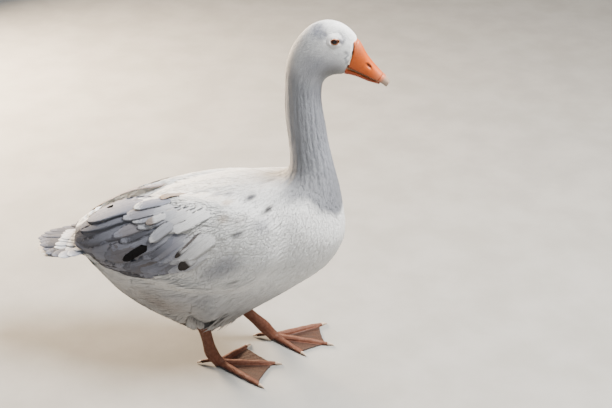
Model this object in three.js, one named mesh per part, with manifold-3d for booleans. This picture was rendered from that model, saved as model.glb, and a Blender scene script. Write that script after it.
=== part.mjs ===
// A domestic goose standing in mid-step, life size.
// Millimetres, +Z up. The bird faces -Y, so its right side is -X. The floor is z = 0.
import * as THREE from "three";
import { mergeVertices } from "three/addons/utils/BufferGeometryUtils.js";
import Module from "manifold-3d";

const wasm = await Module();
wasm.setup();

// ---- driving dimensions ----
const PART_GAP = 0.3; // between neighbouring pieces
const BODY_SIDES = 24; // corners of a body section
const BODY_STEPS = 2; // sections between two stations

const EYE_RADIUS = 8.2;
const EYE_SIDE = 16; // centre of the eyeball from the middle of the head
const EYE_FORWARD = 48;
const EYE_HEIGHT = 631;

const TAIL_HALF_WIDTH = 60;
const TAIL_DROOP = 6; // how far the sides of the tail hang below its middle
const TAIL_SIDES = 16;

const WING_SIDES = 16;
const WING_LIFT = 3.4; // how far the wing's edges stand off the shape it is wrapped round
const WING_PROUD = 6; // how far the middle of the wing swells out beyond its edges
const WING_DEPTH = 12; // how far the wing reaches in beyond its edges, where the trunk leaves it room

const BILL_SIDES = 14;
const NAIL_START = 0.72; // share of the upper bill's length where its nail starts

const NOSTRIL_FORWARD = 103;
const NOSTRIL_Z = 590;
const NOSTRIL_SIDE = 11.2;
const NOSTRIL_LENGTH = 11;
const NOSTRIL_HEIGHT = 3.6;
const NOSTRIL_DEPTH = 3;
const NOSTRIL_SLOPE = 45;

const TOE_LENGTHS = { inner: 72, middle: 103, outer: 100 }; // from the hub to the claw
const TOE_ROOT_RADIUS = 7.4;
const TOE_TIP_RADIUS = 4.2;
const CLAW_LENGTH = 12;
const WEB_THICKNESS = 2.2;
const WEB_HEIGHT = 1.2; // underside of the web above the floor
const WEB_HOLLOW = 0.05; // how far the web's front edges are drawn in towards the hub
const HIND_TOE = 27;
const ANKLE_HEIGHT = 28;
const HOCK_CAP = 2; // how far the scaly shank reaches above the middle of the hock
const THIGH_END = 14; // radius of the thigh at its knee and hock
const SHANK_HALF_WIDTH = 9.2;
const SHANK_HALF_DEPTH = 10.6;
const LEG_STEPS = 12; // rings from the hock to the toes, a third of them below the ankle

// Each leg, as the middle of each joint. turns holds how many degrees inwards each toe points.
const LEGS = {
  right: {
    knee: { side: -86, forward: -152, height: 198 },
    hock: { side: -48, forward: -182, height: 106 },
    ankle: { side: -39, forward: -168 },
    hub: { side: -34, forward: -156 },
    turns: { inner: 57, middle: 8, outer: -33, hind: 2 },
  },
  left: {
    knee: { side: 86, forward: -132, height: 192 },
    hock: { side: 56, forward: -146, height: 86 },
    ankle: { side: 61, forward: -89 },
    hub: { side: 63, forward: -70 },
    turns: { inner: 36, middle: 4, outer: -34, hind: 2 },
  },
};

// Stations of the body, from the bill to the root of the tail, each cut across by one flat section.
// back and front are the section's dorsal and ventral ends as [forward, height]; half is its half width;
// level is how far up from the ventral end it is widest. over and under shape the halves above and below
// that: 2 is round, more is boxy and less comes to a keel.
const STATIONS = [
  { name: "bill base", back: [84, 633.5], front: [64, 570], half: 15, level: 0.42, over: 2.2, under: 2.2 },
  { name: "lores", back: [73, 647], front: [56, 568.5], half: 18.5, level: 0.48, over: 2.2, under: 2.1 },
  { name: "brow", back: [55, 658], front: [47, 567.5], half: 22.5, level: 0.52, over: 2.3, under: 2.1 },
  { name: "crown", back: [31, 661.5], front: [37.5, 563.5], half: 26, level: 0.5, over: 2.2, under: 2.1 },
  { name: "hind crown", back: [5, 651], front: [30.5, 555.5], half: 27.5, level: 0.45, over: 2.1, under: 2 },
  { name: "nape", back: [-17.5, 626], front: [28, 545], half: 28, level: 0.45, over: 2, under: 2 },
  { name: "neck top", back: [-33, 592], front: [27.5, 526], half: 29, level: 0.5, over: 2, under: 2 },
  { name: "neck upper", back: [-37.5, 545], front: [30, 505], half: 29.5, level: 0.5, over: 2, under: 2 },
  { name: "neck middle", back: [-37, 486], front: [34.5, 481], half: 30.5, level: 0.5, over: 2, under: 2 },
  { name: "neck lower", back: [-30.5, 438], front: [41.5, 441], half: 32, level: 0.5, over: 2, under: 2 },
  { name: "neck root", back: [-30, 405], front: [52, 398], half: 38, level: 0.5, over: 2, under: 2 },
  { name: "neck base", back: [-36, 391], front: [61, 364], half: 50, level: 0.52, over: 2, under: 2 },
  { name: "shoulder", back: [-53, 385], front: [68.5, 320], half: 68, level: 0.56, over: 2, under: 2 },
  { name: "breast", back: [-76, 382], front: [72, 270], half: 85, level: 0.56, over: 2.1, under: 2 },
  { name: "keel", back: [-104, 379], front: [46, 218], half: 96, level: 0.53, over: 2.2, under: 2 },
  { name: "mantle", back: [-140, 374], front: [-6, 172], half: 102, level: 0.52, over: 2.2, under: 1.9 },
  { name: "belly", back: [-182, 364], front: [-74, 120], half: 104, level: 0.5, over: 2.2, under: 1.75 },
  { name: "paunch", back: [-228, 350], front: [-140, 78], half: 102, level: 0.48, over: 2.2, under: 1.65 },
  { name: "loin", back: [-276, 329], front: [-208, 66], half: 96, level: 0.48, over: 2.1, under: 1.65 },
  { name: "vent", back: [-322, 302], front: [-272, 90], half: 82, level: 0.5, over: 2.1, under: 1.8 },
  { name: "rump", back: [-364, 270], front: [-332, 126], half: 63, level: 0.55, over: 2.1, under: 1.9 },
  { name: "tail root", back: [-396, 240], front: [-382, 190], half: 44, level: 0.5, over: 2.1, under: 2 },
];

// Sections of the shape the folded wings are wrapped round. It follows the trunk, and goes on past its rump.
// upper and lower are where the wing's edges run on it, in degrees up from where it is widest;
// full is the share of its swelling that the wing has there.
const WING_BED = [
  { back: [-96, 382], front: [53, 232], half: 98, level: 0.54, over: 2.2, under: 2, upper: 26, lower: 4, full: 0.25 },
  { back: [-120, 380], front: [31, 188], half: 104, level: 0.52, over: 2.2, under: 2, upper: 48, lower: -12, full: 0.6 },
  { back: [-150, 376], front: [-20, 153], half: 109, level: 0.51, over: 2.2, under: 1.9, upper: 60, lower: -24, full: 0.85 },
  { back: [-182, 368], front: [-72, 115], half: 109, level: 0.5, over: 2.2, under: 1.75, upper: 68, lower: -24, full: 1 },
  { back: [-228, 355], front: [-140, 75], half: 106, level: 0.48, over: 2.2, under: 1.65, upper: 74, lower: -10, full: 1 },
  { back: [-276, 338], front: [-208, 65], half: 99, level: 0.48, over: 2.1, under: 1.65, upper: 79, lower: 2, full: 1 },
  { back: [-322, 317], front: [-272, 89], half: 86, level: 0.5, over: 2.1, under: 1.8, upper: 83, lower: 5, full: 1 },
  { back: [-362, 294], front: [-332, 130], half: 67, level: 0.54, over: 2.1, under: 1.9, upper: 85, lower: -3, full: 0.9 },
  { back: [-396, 270], front: [-386, 190], half: 43, level: 0.55, over: 2, under: 2, upper: 84, lower: -12, full: 0.7 },
  { back: [-416, 256], front: [-413, 222], half: 20, level: 0.5, over: 2, under: 2, upper: 80, lower: -30, full: 0.5 },
];

// Stations of the tail: how far forward, the height of its upper side, its share of the full width, its thickness.
const TAIL_STATIONS = [
  { forward: -366, height: 237, share: 0.5, thick: 26 },
  { forward: -396, height: 233, share: 0.78, thick: 19 },
  { forward: -425, height: 230, share: 0.96, thick: 12 },
  { forward: -446, height: 227, share: 1, thick: 9 },
  { forward: -463, height: 224, share: 0.88, thick: 7 },
  { forward: -477, height: 220, share: 0.62, thick: 6 },
  { forward: -487, height: 217, share: 0.26, thick: 5 },
];

// Stations of the bill: back is its culmen, front its lower edge.
const UPPER_BILL = [
  { back: [82.6, 632.8], front: [67, 585.8], half: 14.3 },
  { back: [90.5, 621], front: [76, 582.3], half: 13.7 },
  { back: [99, 606], front: [87, 577.5], half: 12.5 },
  { back: [110, 591.5], front: [100, 571.6], half: 11.8 },
  { back: [122, 578.5], front: [113, 565.8], half: 11 },
  { back: [131, 569.5], front: [123, 560.5], half: 9 },
  { back: [136.5, 561], front: [131, 553.5], half: 5.2 },
];
const LOWER_BILL = [
  { back: [66.4, 584.4], front: [63, 572], half: 12.6 },
  { back: [76, 581.4], front: [75, 570.4], half: 12 },
  { back: [87, 576.6], front: [86, 567.4], half: 11.2 },
  { back: [100, 570.6], front: [98.5, 562.4], half: 10.2 },
  { back: [112, 565.1], front: [110, 559.2], half: 8.8 },
  { back: [121, 560.7], front: [119, 556.4], half: 6 },
];

// ---- helpers ----
const at = (forward, height, side = 0) => new THREE.Vector3(side, -forward, height);
const curve = (points) => new THREE.CatmullRomCurve3(points, false, "centripetal");
const signedPower = (value, power) => Math.sign(value) * Math.abs(value) ** power;

// A closed geometry from rings of points, each end closed by a fan. Its faces are turned outwards.
function loft(rings) {
  const sides = rings[0].length;
  const middle = (ring) => ring.reduce((sum, p) => sum.add(p), new THREE.Vector3()).divideScalar(sides);
  const points = [...rings.flat(), middle(rings[0]), middle(rings.at(-1))];
  const first = sides * rings.length;
  const index = [];
  for (let i = 0; i < sides; i++) {
    const next = (i + 1) % sides;
    for (let k = 0; k < rings.length - 1; k++) {
      const [a, b] = [k * sides + i, k * sides + next];
      index.push(a, b, b + sides, a, b + sides, a + sides);
    }
    const end = (rings.length - 1) * sides;
    index.push(first, next, i, first + 1, end + i, end + next);
  }
  let volume = 0;
  for (let k = 0; k < index.length; k += 3) {
    const [a, b, c] = index.slice(k, k + 3).map((n) => points[n]);
    volume += a.dot(new THREE.Vector3().crossVectors(b, c));
  }
  return new THREE.BufferGeometry().setFromPoints(points).setIndex(volume < 0 ? index.reverse() : index);
}

function solidOf(geometry) {
  const bare = geometry.clone();
  bare.deleteAttribute("normal");
  bare.deleteAttribute("uv");
  const merged = mergeVertices(bare, 1e-3);
  return new wasm.Manifold(
    new wasm.Mesh({
      numProp: 3,
      vertProperties: new Float32Array(merged.attributes.position.array),
      triVerts: new Uint32Array(merged.index.array),
    }),
  );
}

function geometryOf(solid) {
  const mesh = solid.getMesh();
  const corners = new Float32Array(mesh.numVert * 3);
  for (let i = 0; i < mesh.numVert; i++) {
    corners.set(mesh.vertProperties.subarray(i * mesh.numProp, i * mesh.numProp + 3), i * 3);
  }
  return new THREE.BufferGeometry()
    .setAttribute("position", new THREE.BufferAttribute(corners, 3))
    .setIndex(new THREE.BufferAttribute(mesh.triVerts, 1));
}

// Drops the small pieces that a cut leaves, and keeps the largest.
function largest(solid) {
  return solid.decompose().sort((a, b) => b.volume() - a.volume())[0];
}

// A point of a body, bill or wing section, angle degrees up from where it is widest, grown outwards by grow.
function onSection({ back, front, half, level, over, under }, angle, grow = 0) {
  const [cos, sin] = [Math.cos(THREE.MathUtils.degToRad(angle)), Math.sin(THREE.MathUtils.degToRad(angle))];
  const along = back.clone().sub(front).normalize().multiplyScalar(grow);
  const centre = front.clone().lerp(back, level);
  const end = sin > 0 ? back.clone().add(along) : front.clone().sub(along);
  const power = 2 / (sin > 0 ? over : under);
  const point = centre.lerp(end, Math.abs(sin) ** power);
  point.x = (half + grow) * signedPower(cos, power);
  return point;
}

const section = (shape, sides, grow = 0) =>
  Array.from({ length: sides }, (_, i) => onSection(shape, (360 * i) / sides, grow));

// Smooth sections through a list of stations, with steps sections from each station to the next.
function sections(stations, steps) {
  const backs = curve(stations.map((s) => at(...s.back)));
  const fronts = curve(stations.map((s) => at(...s.front)));
  const girths = curve(stations.map((s) => new THREE.Vector3(s.half, s.level * 100, 0)));
  const shapes = curve(stations.map((s, k) => new THREE.Vector3(s.over, s.under, k)));
  const edges = curve(stations.map((s) => new THREE.Vector3(s.upper ?? 0, s.lower ?? 0, 20 * (s.full ?? 0))));
  const count = (stations.length - 1) * steps;
  return Array.from({ length: count + 1 }, (_, i) => {
    const [back, front, girth, shape, edge] = [backs, fronts, girths, shapes, edges].map((c) => c.getPoint(i / count));
    const wing = { upper: edge.x, lower: edge.y, full: edge.z / 20 };
    return { back, front, half: girth.x, level: girth.y / 100, over: shape.x, under: shape.y, ...wing };
  });
}

// A ring moved square to its own plane, for the gap between two pieces.
function shifted(ring, towards, distance) {
  const third = Math.floor(ring.length / 3);
  const [a, b] = [ring[third].clone().sub(ring[0]), ring[2 * third].clone().sub(ring[0])];
  const normal = new THREE.Vector3().crossVectors(a, b).normalize();
  if (normal.dot(towards[0].clone().sub(ring[0])) < 0) normal.negate();
  return ring.map((p) => p.clone().addScaledVector(normal, distance));
}

// The piece of a row of rings from ring first to ring last, set back at both ends by half the gap.
function stretch(rings, first, last) {
  const part = rings.slice(first, last + 1);
  const start = shifted(part[0], part[1], PART_GAP / 2);
  const end = shifted(part.at(-1), part.at(-2), PART_GAP / 2);
  return loft([start, ...part.slice(1, -1), end]);
}

// Oval rings along a path. size(u) gives half width and half depth, and broad is the way the width runs.
function limbRings(path, size, { steps = 10, broad = new THREE.Vector3(1, 0, 0), sides = 10, floor = -Infinity } = {}) {
  return Array.from({ length: steps + 1 }, (_, k) => {
    const [centre, along] = [path.getPoint(k / steps), path.getTangent(k / steps)];
    const wide = broad.clone().addScaledVector(along, -broad.dot(along)).normalize();
    const deep = new THREE.Vector3().crossVectors(along, wide);
    const [halfWidth, halfDepth] = size(k / steps);
    return Array.from({ length: sides }, (_, i) => {
      const angle = (2 * Math.PI * (i + 0.5)) / sides;
      const point = centre.clone().addScaledVector(wide, halfWidth * Math.cos(angle));
      point.addScaledVector(deep, halfDepth * Math.sin(angle));
      point.z = Math.max(point.z, floor);
      return point;
    });
  });
}

const limb = (path, size, options) => loft(limbRings(path, size, options));

const goose = new THREE.Group();
const FINISHES = {
  plumage: { color: 0xe9e8e4, roughness: 0.9 },
  wing: { color: 0xb9b6b4, roughness: 0.85 },
  bill: { color: 0xd9692b, roughness: 0.45 },
  horn: { color: 0xdcc3ad, roughness: 0.4 },
  eye: { color: 0x1a0f0a, roughness: 0.05 },
  leg: { color: 0xc4703f, roughness: 0.6 },
};

function add(name, geometry, finish) {
  const material = new THREE.MeshStandardMaterial({ ...FINISHES[finish], metalness: 0 });
  const mesh = new THREE.Mesh(geometry, material);
  mesh.name = name;
  goose.add(mesh);
}

// ---- head, neck and trunk ----
const bodySections = sections(STATIONS, BODY_STEPS);
const bodyRings = bodySections.map((s) => section(s, BODY_SIDES));
const grownRings = bodySections.map((s) => section(s, BODY_SIDES, PART_GAP));
grownRings[0] = shifted(grownRings[0], grownRings[1], -PART_GAP);
const grownBody = solidOf(loft(grownRings));
const stationIndex = (name) => STATIONS.findIndex((s) => s.name === name) * BODY_STEPS;

function addHead() {
  let head = solidOf(stretch(bodyRings, 0, stationIndex("neck top")));
  for (const side of [-1, 1]) {
    const socket = new THREE.SphereGeometry(EYE_RADIUS + PART_GAP, 14, 9);
    head = head.subtract(solidOf(socket.translate(side * EYE_SIDE, -EYE_FORWARD, EYE_HEIGHT)));
  }
  add("head", geometryOf(head), "plumage");
}

function addEye(name, side) {
  const ball = new THREE.SphereGeometry(EYE_RADIUS, 12, 8);
  add(name, ball.translate(side * EYE_SIDE, -EYE_FORWARD, EYE_HEIGHT), "eye");
}

// ---- bill ----
function billRings(stations, level, square) {
  const shaped = stations.map((s) => ({ ...s, level, over: square, under: square }));
  return sections(shaped, 2).map((s) => section(s, BILL_SIDES));
}

// The hollow of one nostril, a slot that runs along the bill.
function nostril(side) {
  const slot = new THREE.SphereGeometry(1, 8, 6).scale(NOSTRIL_DEPTH, NOSTRIL_LENGTH / 2, NOSTRIL_HEIGHT / 2);
  slot.rotateX(THREE.MathUtils.degToRad(NOSTRIL_SLOPE));
  return solidOf(slot.translate(side * NOSTRIL_SIDE, -NOSTRIL_FORWARD, NOSTRIL_Z));
}

function addBill() {
  const upper = billRings(UPPER_BILL, 0.22, 2.1);
  const lower = billRings(LOWER_BILL, 0.68, 2.2);
  const nail = Math.round(NAIL_START * (upper.length - 1));
  const offFace = (geometry) => geometryOf(largest(solidOf(geometry).subtract(grownBody)));
  const carved = [-1, 1].reduce((bill, side) => bill.subtract(nostril(side)), solidOf(stretch(upper, 0, nail)));
  add("bill_upper", offFace(geometryOf(carved)), "bill");
  add("bill_nail", stretch(upper, nail, upper.length - 1), "horn");
  add("bill_lower", offFace(stretch(lower, 0, lower.length - 1)), "bill");
}

// ---- wings ----
// A section of the wing: over its outer side from its upper edge to its lower one, and back along its inner side.
function wingRing(bed, side, grow) {
  const half = WING_SIDES / 2;
  return Array.from({ length: WING_SIDES }, (_, i) => {
    const outer = i <= half;
    const share = outer ? i / half : (WING_SIDES - i) / half;
    const swell = Math.sin(Math.PI * share) ** 0.6;
    const angle = THREE.MathUtils.lerp(bed.upper + 4 * grow, bed.lower - 4 * grow, share);
    const out = swell * (outer ? WING_PROUD * bed.full : -WING_DEPTH) + (outer ? grow : -grow);
    const point = onSection(bed, angle, WING_LIFT * bed.full + out);
    point.x *= side;
    return point;
  });
}

// The wing before the trunk is cut out of it, grown outwards by grow.
function wingSolid(side, grow = 0) {
  const rings = sections(WING_BED, 2).map((bed) => wingRing(bed, side, grow));
  rings[0] = shifted(rings[0], rings[1], -grow);
  rings.push(shifted(rings.pop(), rings.at(-1), -grow));
  return solidOf(loft(rings));
}

function addWing(name, side) {
  add(name, geometryOf(largest(wingSolid(side).subtract(grownBody))), "wing");
}

// ---- tail ----
function addTail() {
  const path = curve(TAIL_STATIONS.map((s) => at(s.forward, s.height)));
  const sizes = curve(TAIL_STATIONS.map((s) => new THREE.Vector3(s.share * 10, s.thick, 0)));
  const count = TAIL_STATIONS.length - 1;
  const rings = Array.from({ length: count + 1 }, (_, k) => {
    const [top, size] = [path.getPoint(k / count), sizes.getPoint(k / count)];
    const share = size.x / 10;
    return Array.from({ length: TAIL_SIDES }, (_, i) => {
      const angle = (2 * Math.PI * i) / TAIL_SIDES;
      const reach = signedPower(Math.cos(angle), 0.8);
      const drop = (1 - signedPower(Math.sin(angle), 0.8)) * 0.5 * size.y + TAIL_DROOP * share * reach ** 2;
      return new THREE.Vector3(TAIL_HALF_WIDTH * share * reach, top.y, top.z - drop);
    });
  });
  const wings = [-1, 1].map((side) => wingSolid(side, PART_GAP));
  const tail = wings.reduce((rest, wing) => rest.subtract(wing), solidOf(loft(rings)).subtract(grownBody));
  add("tail", geometryOf(largest(tail)), "plumage");
}

// ---- legs and feet ----
const vectorOf = ({ side, forward, height }) => at(forward, height, side);

function legPoints(leg) {
  const hub = vectorOf({ ...leg.hub, height: TOE_ROOT_RADIUS + 2 });
  const ankle = vectorOf({ ...leg.ankle, height: ANKLE_HEIGHT });
  const [hock, knee] = [vectorOf(leg.hock), vectorOf(leg.knee)];
  return { hub, ankle, hock, knee, up: knee.clone().sub(hock).normalize() };
}

function addThigh(name, leg) {
  const { hock, knee, up } = legPoints(leg);
  const path = new THREE.LineCurve3(hock.clone().addScaledVector(up, HOCK_CAP + PART_GAP), knee);
  const size = (u) => [THIGH_END + 15 * Math.sin(Math.PI * u), THIGH_END + 3 + 22 * Math.sin(Math.PI * u)];
  const thigh = limb(path, size, { steps: 7, sides: 14 });
  const wing = wingSolid(Math.sign(leg.hub.side), PART_GAP);
  add(name, geometryOf(largest(solidOf(thigh).subtract(grownBody).subtract(wing))), "plumage");
}

// Rings from the hock down to where the toes meet, with a knob at the hock and another at the ankle.
function legRings(leg) {
  const { hub, ankle, hock } = legPoints(leg);
  const [top, middle] = [hock.clone().lerp(ankle, -0.06), hock.clone().lerp(ankle, 0.5)];
  const path = curve([top, middle, ankle, hub.clone().setZ(TOE_ROOT_RADIUS - 2)]);
  const size = (u) => {
    const knob = 3.6 * Math.exp(-(((u - 0.04) / 0.14) ** 2)) + 2.0 * Math.exp(-(((u - 0.66) / 0.13) ** 2));
    return [SHANK_HALF_WIDTH + knob + (u > 0.66 ? 4 * (u - 0.66) : 0), SHANK_HALF_DEPTH + knob];
  };
  return limbRings(path, size, { steps: LEG_STEPS, sides: 12, floor: 0 });
}

const ankleRing = Math.round((LEG_STEPS * 2) / 3);

function addShank(name, leg) {
  const { hock, knee, up } = legPoints(leg);
  const above = new THREE.LineCurve3(hock.clone().addScaledVector(up, HOCK_CAP), knee);
  const room = solidOf(limb(above, () => [60, 60], { steps: 1, sides: 4 }));
  const shank = solidOf(stretch(legRings(leg), 0, ankleRing));
  add(name, geometryOf(largest(shank.subtract(room).subtract(grownBody))), "leg");
}

// The way a toe points, given how many degrees it turns inwards.
function toeWay(leg, inwards) {
  const angle = THREE.MathUtils.degToRad(-inwards) * Math.sign(leg.hub.side);
  return at(Math.cos(angle), 0, Math.sin(angle));
}

const KNUCKLES = { inner: [0.55], middle: [0.4, 0.72], outer: [0.34, 0.58, 0.8] };

function toeShape(leg, name) {
  const way = toeWay(leg, leg.turns[name]);
  const { hub } = legPoints(leg);
  const size = (u) => {
    const knuckles = KNUCKLES[name].reduce((sum, j) => sum + 0.9 * Math.exp(-(((u - j) / 0.07) ** 2)), 0);
    const radius = THREE.MathUtils.lerp(TOE_ROOT_RADIUS, TOE_TIP_RADIUS, u) + knuckles;
    return [radius - 0.4, radius - 0.6];
  };
  const along = (u) => hub.clone().addScaledVector(way, TOE_LENGTHS[name] * u).setZ(size(u)[1] - 0.7);
  const path = curve([0, 0.25, 0.5, 0.75, 1].map(along));
  return { way, size, path, broad: new THREE.Vector3(-way.y, way.x, 0), tip: along(1) };
}

// The web: a thin plate from the hub out along each toe, its front edges drawn in between the toes.
function webPlate(leg) {
  const { hub } = legPoints(leg);
  const tips = Object.keys(KNUCKLES).map((name) => toeShape(leg, name).tip.lerp(hub, 0.04));
  const outline = new THREE.Shape();
  outline.moveTo(hub.x, hub.y);
  outline.lineTo(tips[0].x, tips[0].y);
  for (const [last, next] of [tips.slice(0, 2), tips.slice(1)]) {
    const pull = last.clone().lerp(next, 0.5).lerp(hub, WEB_HOLLOW);
    outline.quadraticCurveTo(pull.x, pull.y, next.x, next.y);
  }
  outline.closePath();
  const plate = new THREE.ExtrudeGeometry(outline, { depth: WEB_THICKNESS, bevelEnabled: false, curveSegments: 6 });
  return plate.translate(0, 0, WEB_HEIGHT);
}

function addFoot(label, leg) {
  const { hub } = legPoints(leg);
  let whole = solidOf(stretch(legRings(leg), ankleRing, LEG_STEPS)).add(solidOf(webPlate(leg)));
  for (const name of Object.keys(KNUCKLES)) {
    const { size, path, broad } = toeShape(leg, name);
    whole = whole.add(solidOf(limb(path, size, { steps: 10, sides: 8, broad, floor: 0 })));
  }
  add(`foot_${label}`, geometryOf(whole), "leg");
  const back = toeWay(leg, leg.turns.hind).negate();
  const [root, tip] = [hub.clone().setZ(14), hub.clone().addScaledVector(back, HIND_TOE + 6).setZ(4.6)];
  const hind = solidOf(limb(new THREE.LineCurve3(root, tip), (u) => [4.6 - 1.2 * u, 4.6 - 1.2 * u], { steps: 4, sides: 8 }));
  const [x, y] = back.clone().multiplyScalar(PART_GAP).toArray();
  add(`hind_toe_${label}`, geometryOf(largest(hind.subtract(whole.translate([x, y, 0])).subtract(whole))), "leg");
  addClaw(`claw_${label}_hind`, tip, tip.clone().sub(root).normalize(), 3, 8);
  for (const name of Object.keys(KNUCKLES)) {
    const { way, tip: end } = toeShape(leg, name);
    addClaw(`claw_${label}_${name}`, end, way, TOE_TIP_RADIUS - 0.6, CLAW_LENGTH);
  }
}

// A claw that curves down from its root to the floor.
function addClaw(name, root, way, radius, length) {
  const start = root.clone().addScaledVector(way, 2 * PART_GAP);
  const middle = start.clone().addScaledVector(way, length * 0.5).add(at(0, 0.4));
  const point = start.clone().addScaledVector(way, length).setZ(0.2 * radius);
  const broad = new THREE.Vector3().crossVectors(new THREE.Vector3(0, 0, 1), way);
  const size = (u) => [radius * (1 - 0.82 * u), radius * (1 - 0.72 * u)];
  add(name, limb(curve([start, middle, point]), size, { steps: 3, sides: 8, broad, floor: 0 }), "horn");
}

addHead();
addEye("eye_right", -1);
addEye("eye_left", 1);
addBill();
add("neck_upper", stretch(bodyRings, stationIndex("neck top"), stationIndex("neck middle")), "plumage");
add("neck_lower", stretch(bodyRings, stationIndex("neck middle"), stationIndex("neck base")), "plumage");
add("trunk", stretch(bodyRings, stationIndex("neck base"), bodyRings.length - 1), "plumage");
addWing("wing_right", -1);
addWing("wing_left", 1);
addTail();
for (const [label, leg] of Object.entries(LEGS)) {
  addThigh(`thigh_${label}`, leg);
  addShank(`shank_${label}`, leg);
  addFoot(label, leg);
}

// The origin is the middle of the goose's box, on the floor.
const box = new THREE.Box3().setFromObject(goose);
const middle = box.getCenter(new THREE.Vector3());
for (const mesh of goose.children) {
  mesh.geometry.translate(-middle.x, -middle.y, -box.min.z);
}

export default goose;
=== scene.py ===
"""A life-size domestic goose: skin, feathers, bill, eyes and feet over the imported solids."""

import math

import bpy
import numpy as np
from bpy.props import FloatProperty, FloatVectorProperty, IntProperty, PointerProperty
from mathutils import Matrix, Vector
from mathutils.bvhtree import BVHTree


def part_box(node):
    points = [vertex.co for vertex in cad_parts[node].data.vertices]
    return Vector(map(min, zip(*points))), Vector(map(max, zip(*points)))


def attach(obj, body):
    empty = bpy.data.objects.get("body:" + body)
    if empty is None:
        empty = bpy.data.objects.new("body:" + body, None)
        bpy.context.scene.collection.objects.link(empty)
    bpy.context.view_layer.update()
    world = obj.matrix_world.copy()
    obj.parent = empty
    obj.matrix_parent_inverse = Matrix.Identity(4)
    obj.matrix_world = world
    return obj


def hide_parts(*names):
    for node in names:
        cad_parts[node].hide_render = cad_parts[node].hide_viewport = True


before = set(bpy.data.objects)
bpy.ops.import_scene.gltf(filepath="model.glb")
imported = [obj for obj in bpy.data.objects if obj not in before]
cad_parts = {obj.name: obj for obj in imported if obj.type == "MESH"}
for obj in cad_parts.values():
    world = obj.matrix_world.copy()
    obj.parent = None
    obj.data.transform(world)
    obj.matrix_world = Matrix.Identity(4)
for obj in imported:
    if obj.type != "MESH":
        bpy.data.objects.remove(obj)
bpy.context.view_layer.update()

bl_info = {
    "name": "Domestic goose",
    "version": (1, 0, 0),
    "blender": (4, 5, 0),
    "location": "View3D > Sidebar > Goose",
    "description": "Builds a life-size white and grey farm goose, feather by feather",
    "category": "Object",
}

MM = 0.001
BODY = "root"

# Everything below is laid out in millimetres from the bird's own middle plane: x is its left, -y its
# front and z up. SHIFT takes that to the frame of the solids.
EYE_FORWARD, EYE_HEIGHT, EYE_SIDE = 48.0, 631.0, 16.0
EYE_BOXES = [corner for node in ("eye_right", "eye_left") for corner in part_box(node)]
SHIFT = np.mean([np.array(c) for c in EYE_BOXES], axis=0) - np.array((0, -EYE_FORWARD, EYE_HEIGHT)) * MM

FLESH = ("head", "neck_upper", "neck_lower", "trunk", "wing_right", "wing_left", "tail", "thigh_right",
         "thigh_left")

# The middle line of the body from the bill to the tail: forward, height, then at each point the depth of
# the coat, the length and half width of a tuft, and how far apart the tufts stand.
SPINE = np.array([
    (86, 600, 0.9, 3.6, 1.0, 1.7),
    (66, 606, 1.2, 4.4, 1.2, 1.9),
    (50, 612, 1.3, 5.0, 1.4, 2.1),
    (34, 612, 1.6, 6.0, 1.6, 2.3),
    (18, 603, 1.8, 6.5, 1.8, 2.4),
    (5, 585, 2.0, 7.5, 2.0, 2.6),
    (-3, 559, 2.4, 9.0, 2.2, 2.8),
    (-4, 525, 2.6, 11.0, 2.4, 3.0),
    (-1, 483, 2.8, 12.0, 2.6, 3.2),
    (5, 440, 3.0, 14.0, 3.0, 3.5),
    (11, 401, 3.4, 16.0, 4.0, 4.2),
    (12, 377, 3.8, 18.0, 5.0, 4.8),
    (8, 352, 4.2, 20.0, 6.0, 5.4),
    (-2, 326, 4.6, 22.0, 7.0, 5.8),
    (-29, 298, 5.0, 24.0, 8.0, 6.2),
    (-73, 273, 5.0, 26.0, 8.5, 6.4),
    (-128, 242, 5.0, 27.0, 9.0, 6.6),
    (-184, 214, 5.0, 28.0, 9.0, 6.6),
    (-242, 197, 5.0, 30.0, 9.0, 6.6),
    (-297, 196, 5.0, 30.0, 9.0, 6.6),
    (-348, 198, 4.6, 28.0, 9.0, 6.4),
    (-389, 215, 4.0, 26.0, 8.0, 6.2),
    (-430, 222, 3.0, 26.0, 8.0, 6.2),
    (-490, 218, 2.0, 24.0, 8.0, 6.2),
])
NECK_TOP, NECK_BASE, KEEL = 6, 11, 14  # rows of the spine
# Where the random numbers of each group of feathers start.
SEEDS = {"roots": 8, "coat": 21, "wing_right": 5, "wing_left": 6, "tail": 12, "small": 40, "mantle": 60}


# ---- settings ----
class GooseSizes(bpy.types.PropertyGroup):
    """Sizes of the skin and of the coat."""

    skin_grain: FloatProperty(name="Skin grain", description="Width of the faces of the skin",
                              default=2.8 * MM, min=1.5 * MM, max=8 * MM, unit="LENGTH")
    tuft_length: FloatProperty(name="Tuft length",
                               description="Length of the small feathers, as a share of the usual",
                               default=1.0, min=0.5, max=1.6, subtype="FACTOR")
    tuft_spacing: FloatProperty(name="Tuft spacing",
                                description="Room between small feathers, as a share of the usual",
                                default=1.0, min=0.7, max=3.0, subtype="FACTOR")
    neck_furrow: FloatProperty(name="Neck furrow", description="Depth of the furrows that run down the neck",
                               default=0.5 * MM, min=0.0, max=3 * MM, unit="LENGTH")
    bill_ridges: IntProperty(name="Bill ridges",
                             description="Number of comb ridges on each side of the bill",
                             default=26, min=8, max=60)
    eye_radius: FloatProperty(name="Eye radius", description="Radius of the eyeball", default=8.2 * MM,
                              min=5 * MM, max=10 * MM, unit="LENGTH")


def colour_setting(name, description, default):
    return FloatVectorProperty(name=name, description=description, default=default, size=3, min=0.0, max=1.0,
                               subtype="COLOR")


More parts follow.
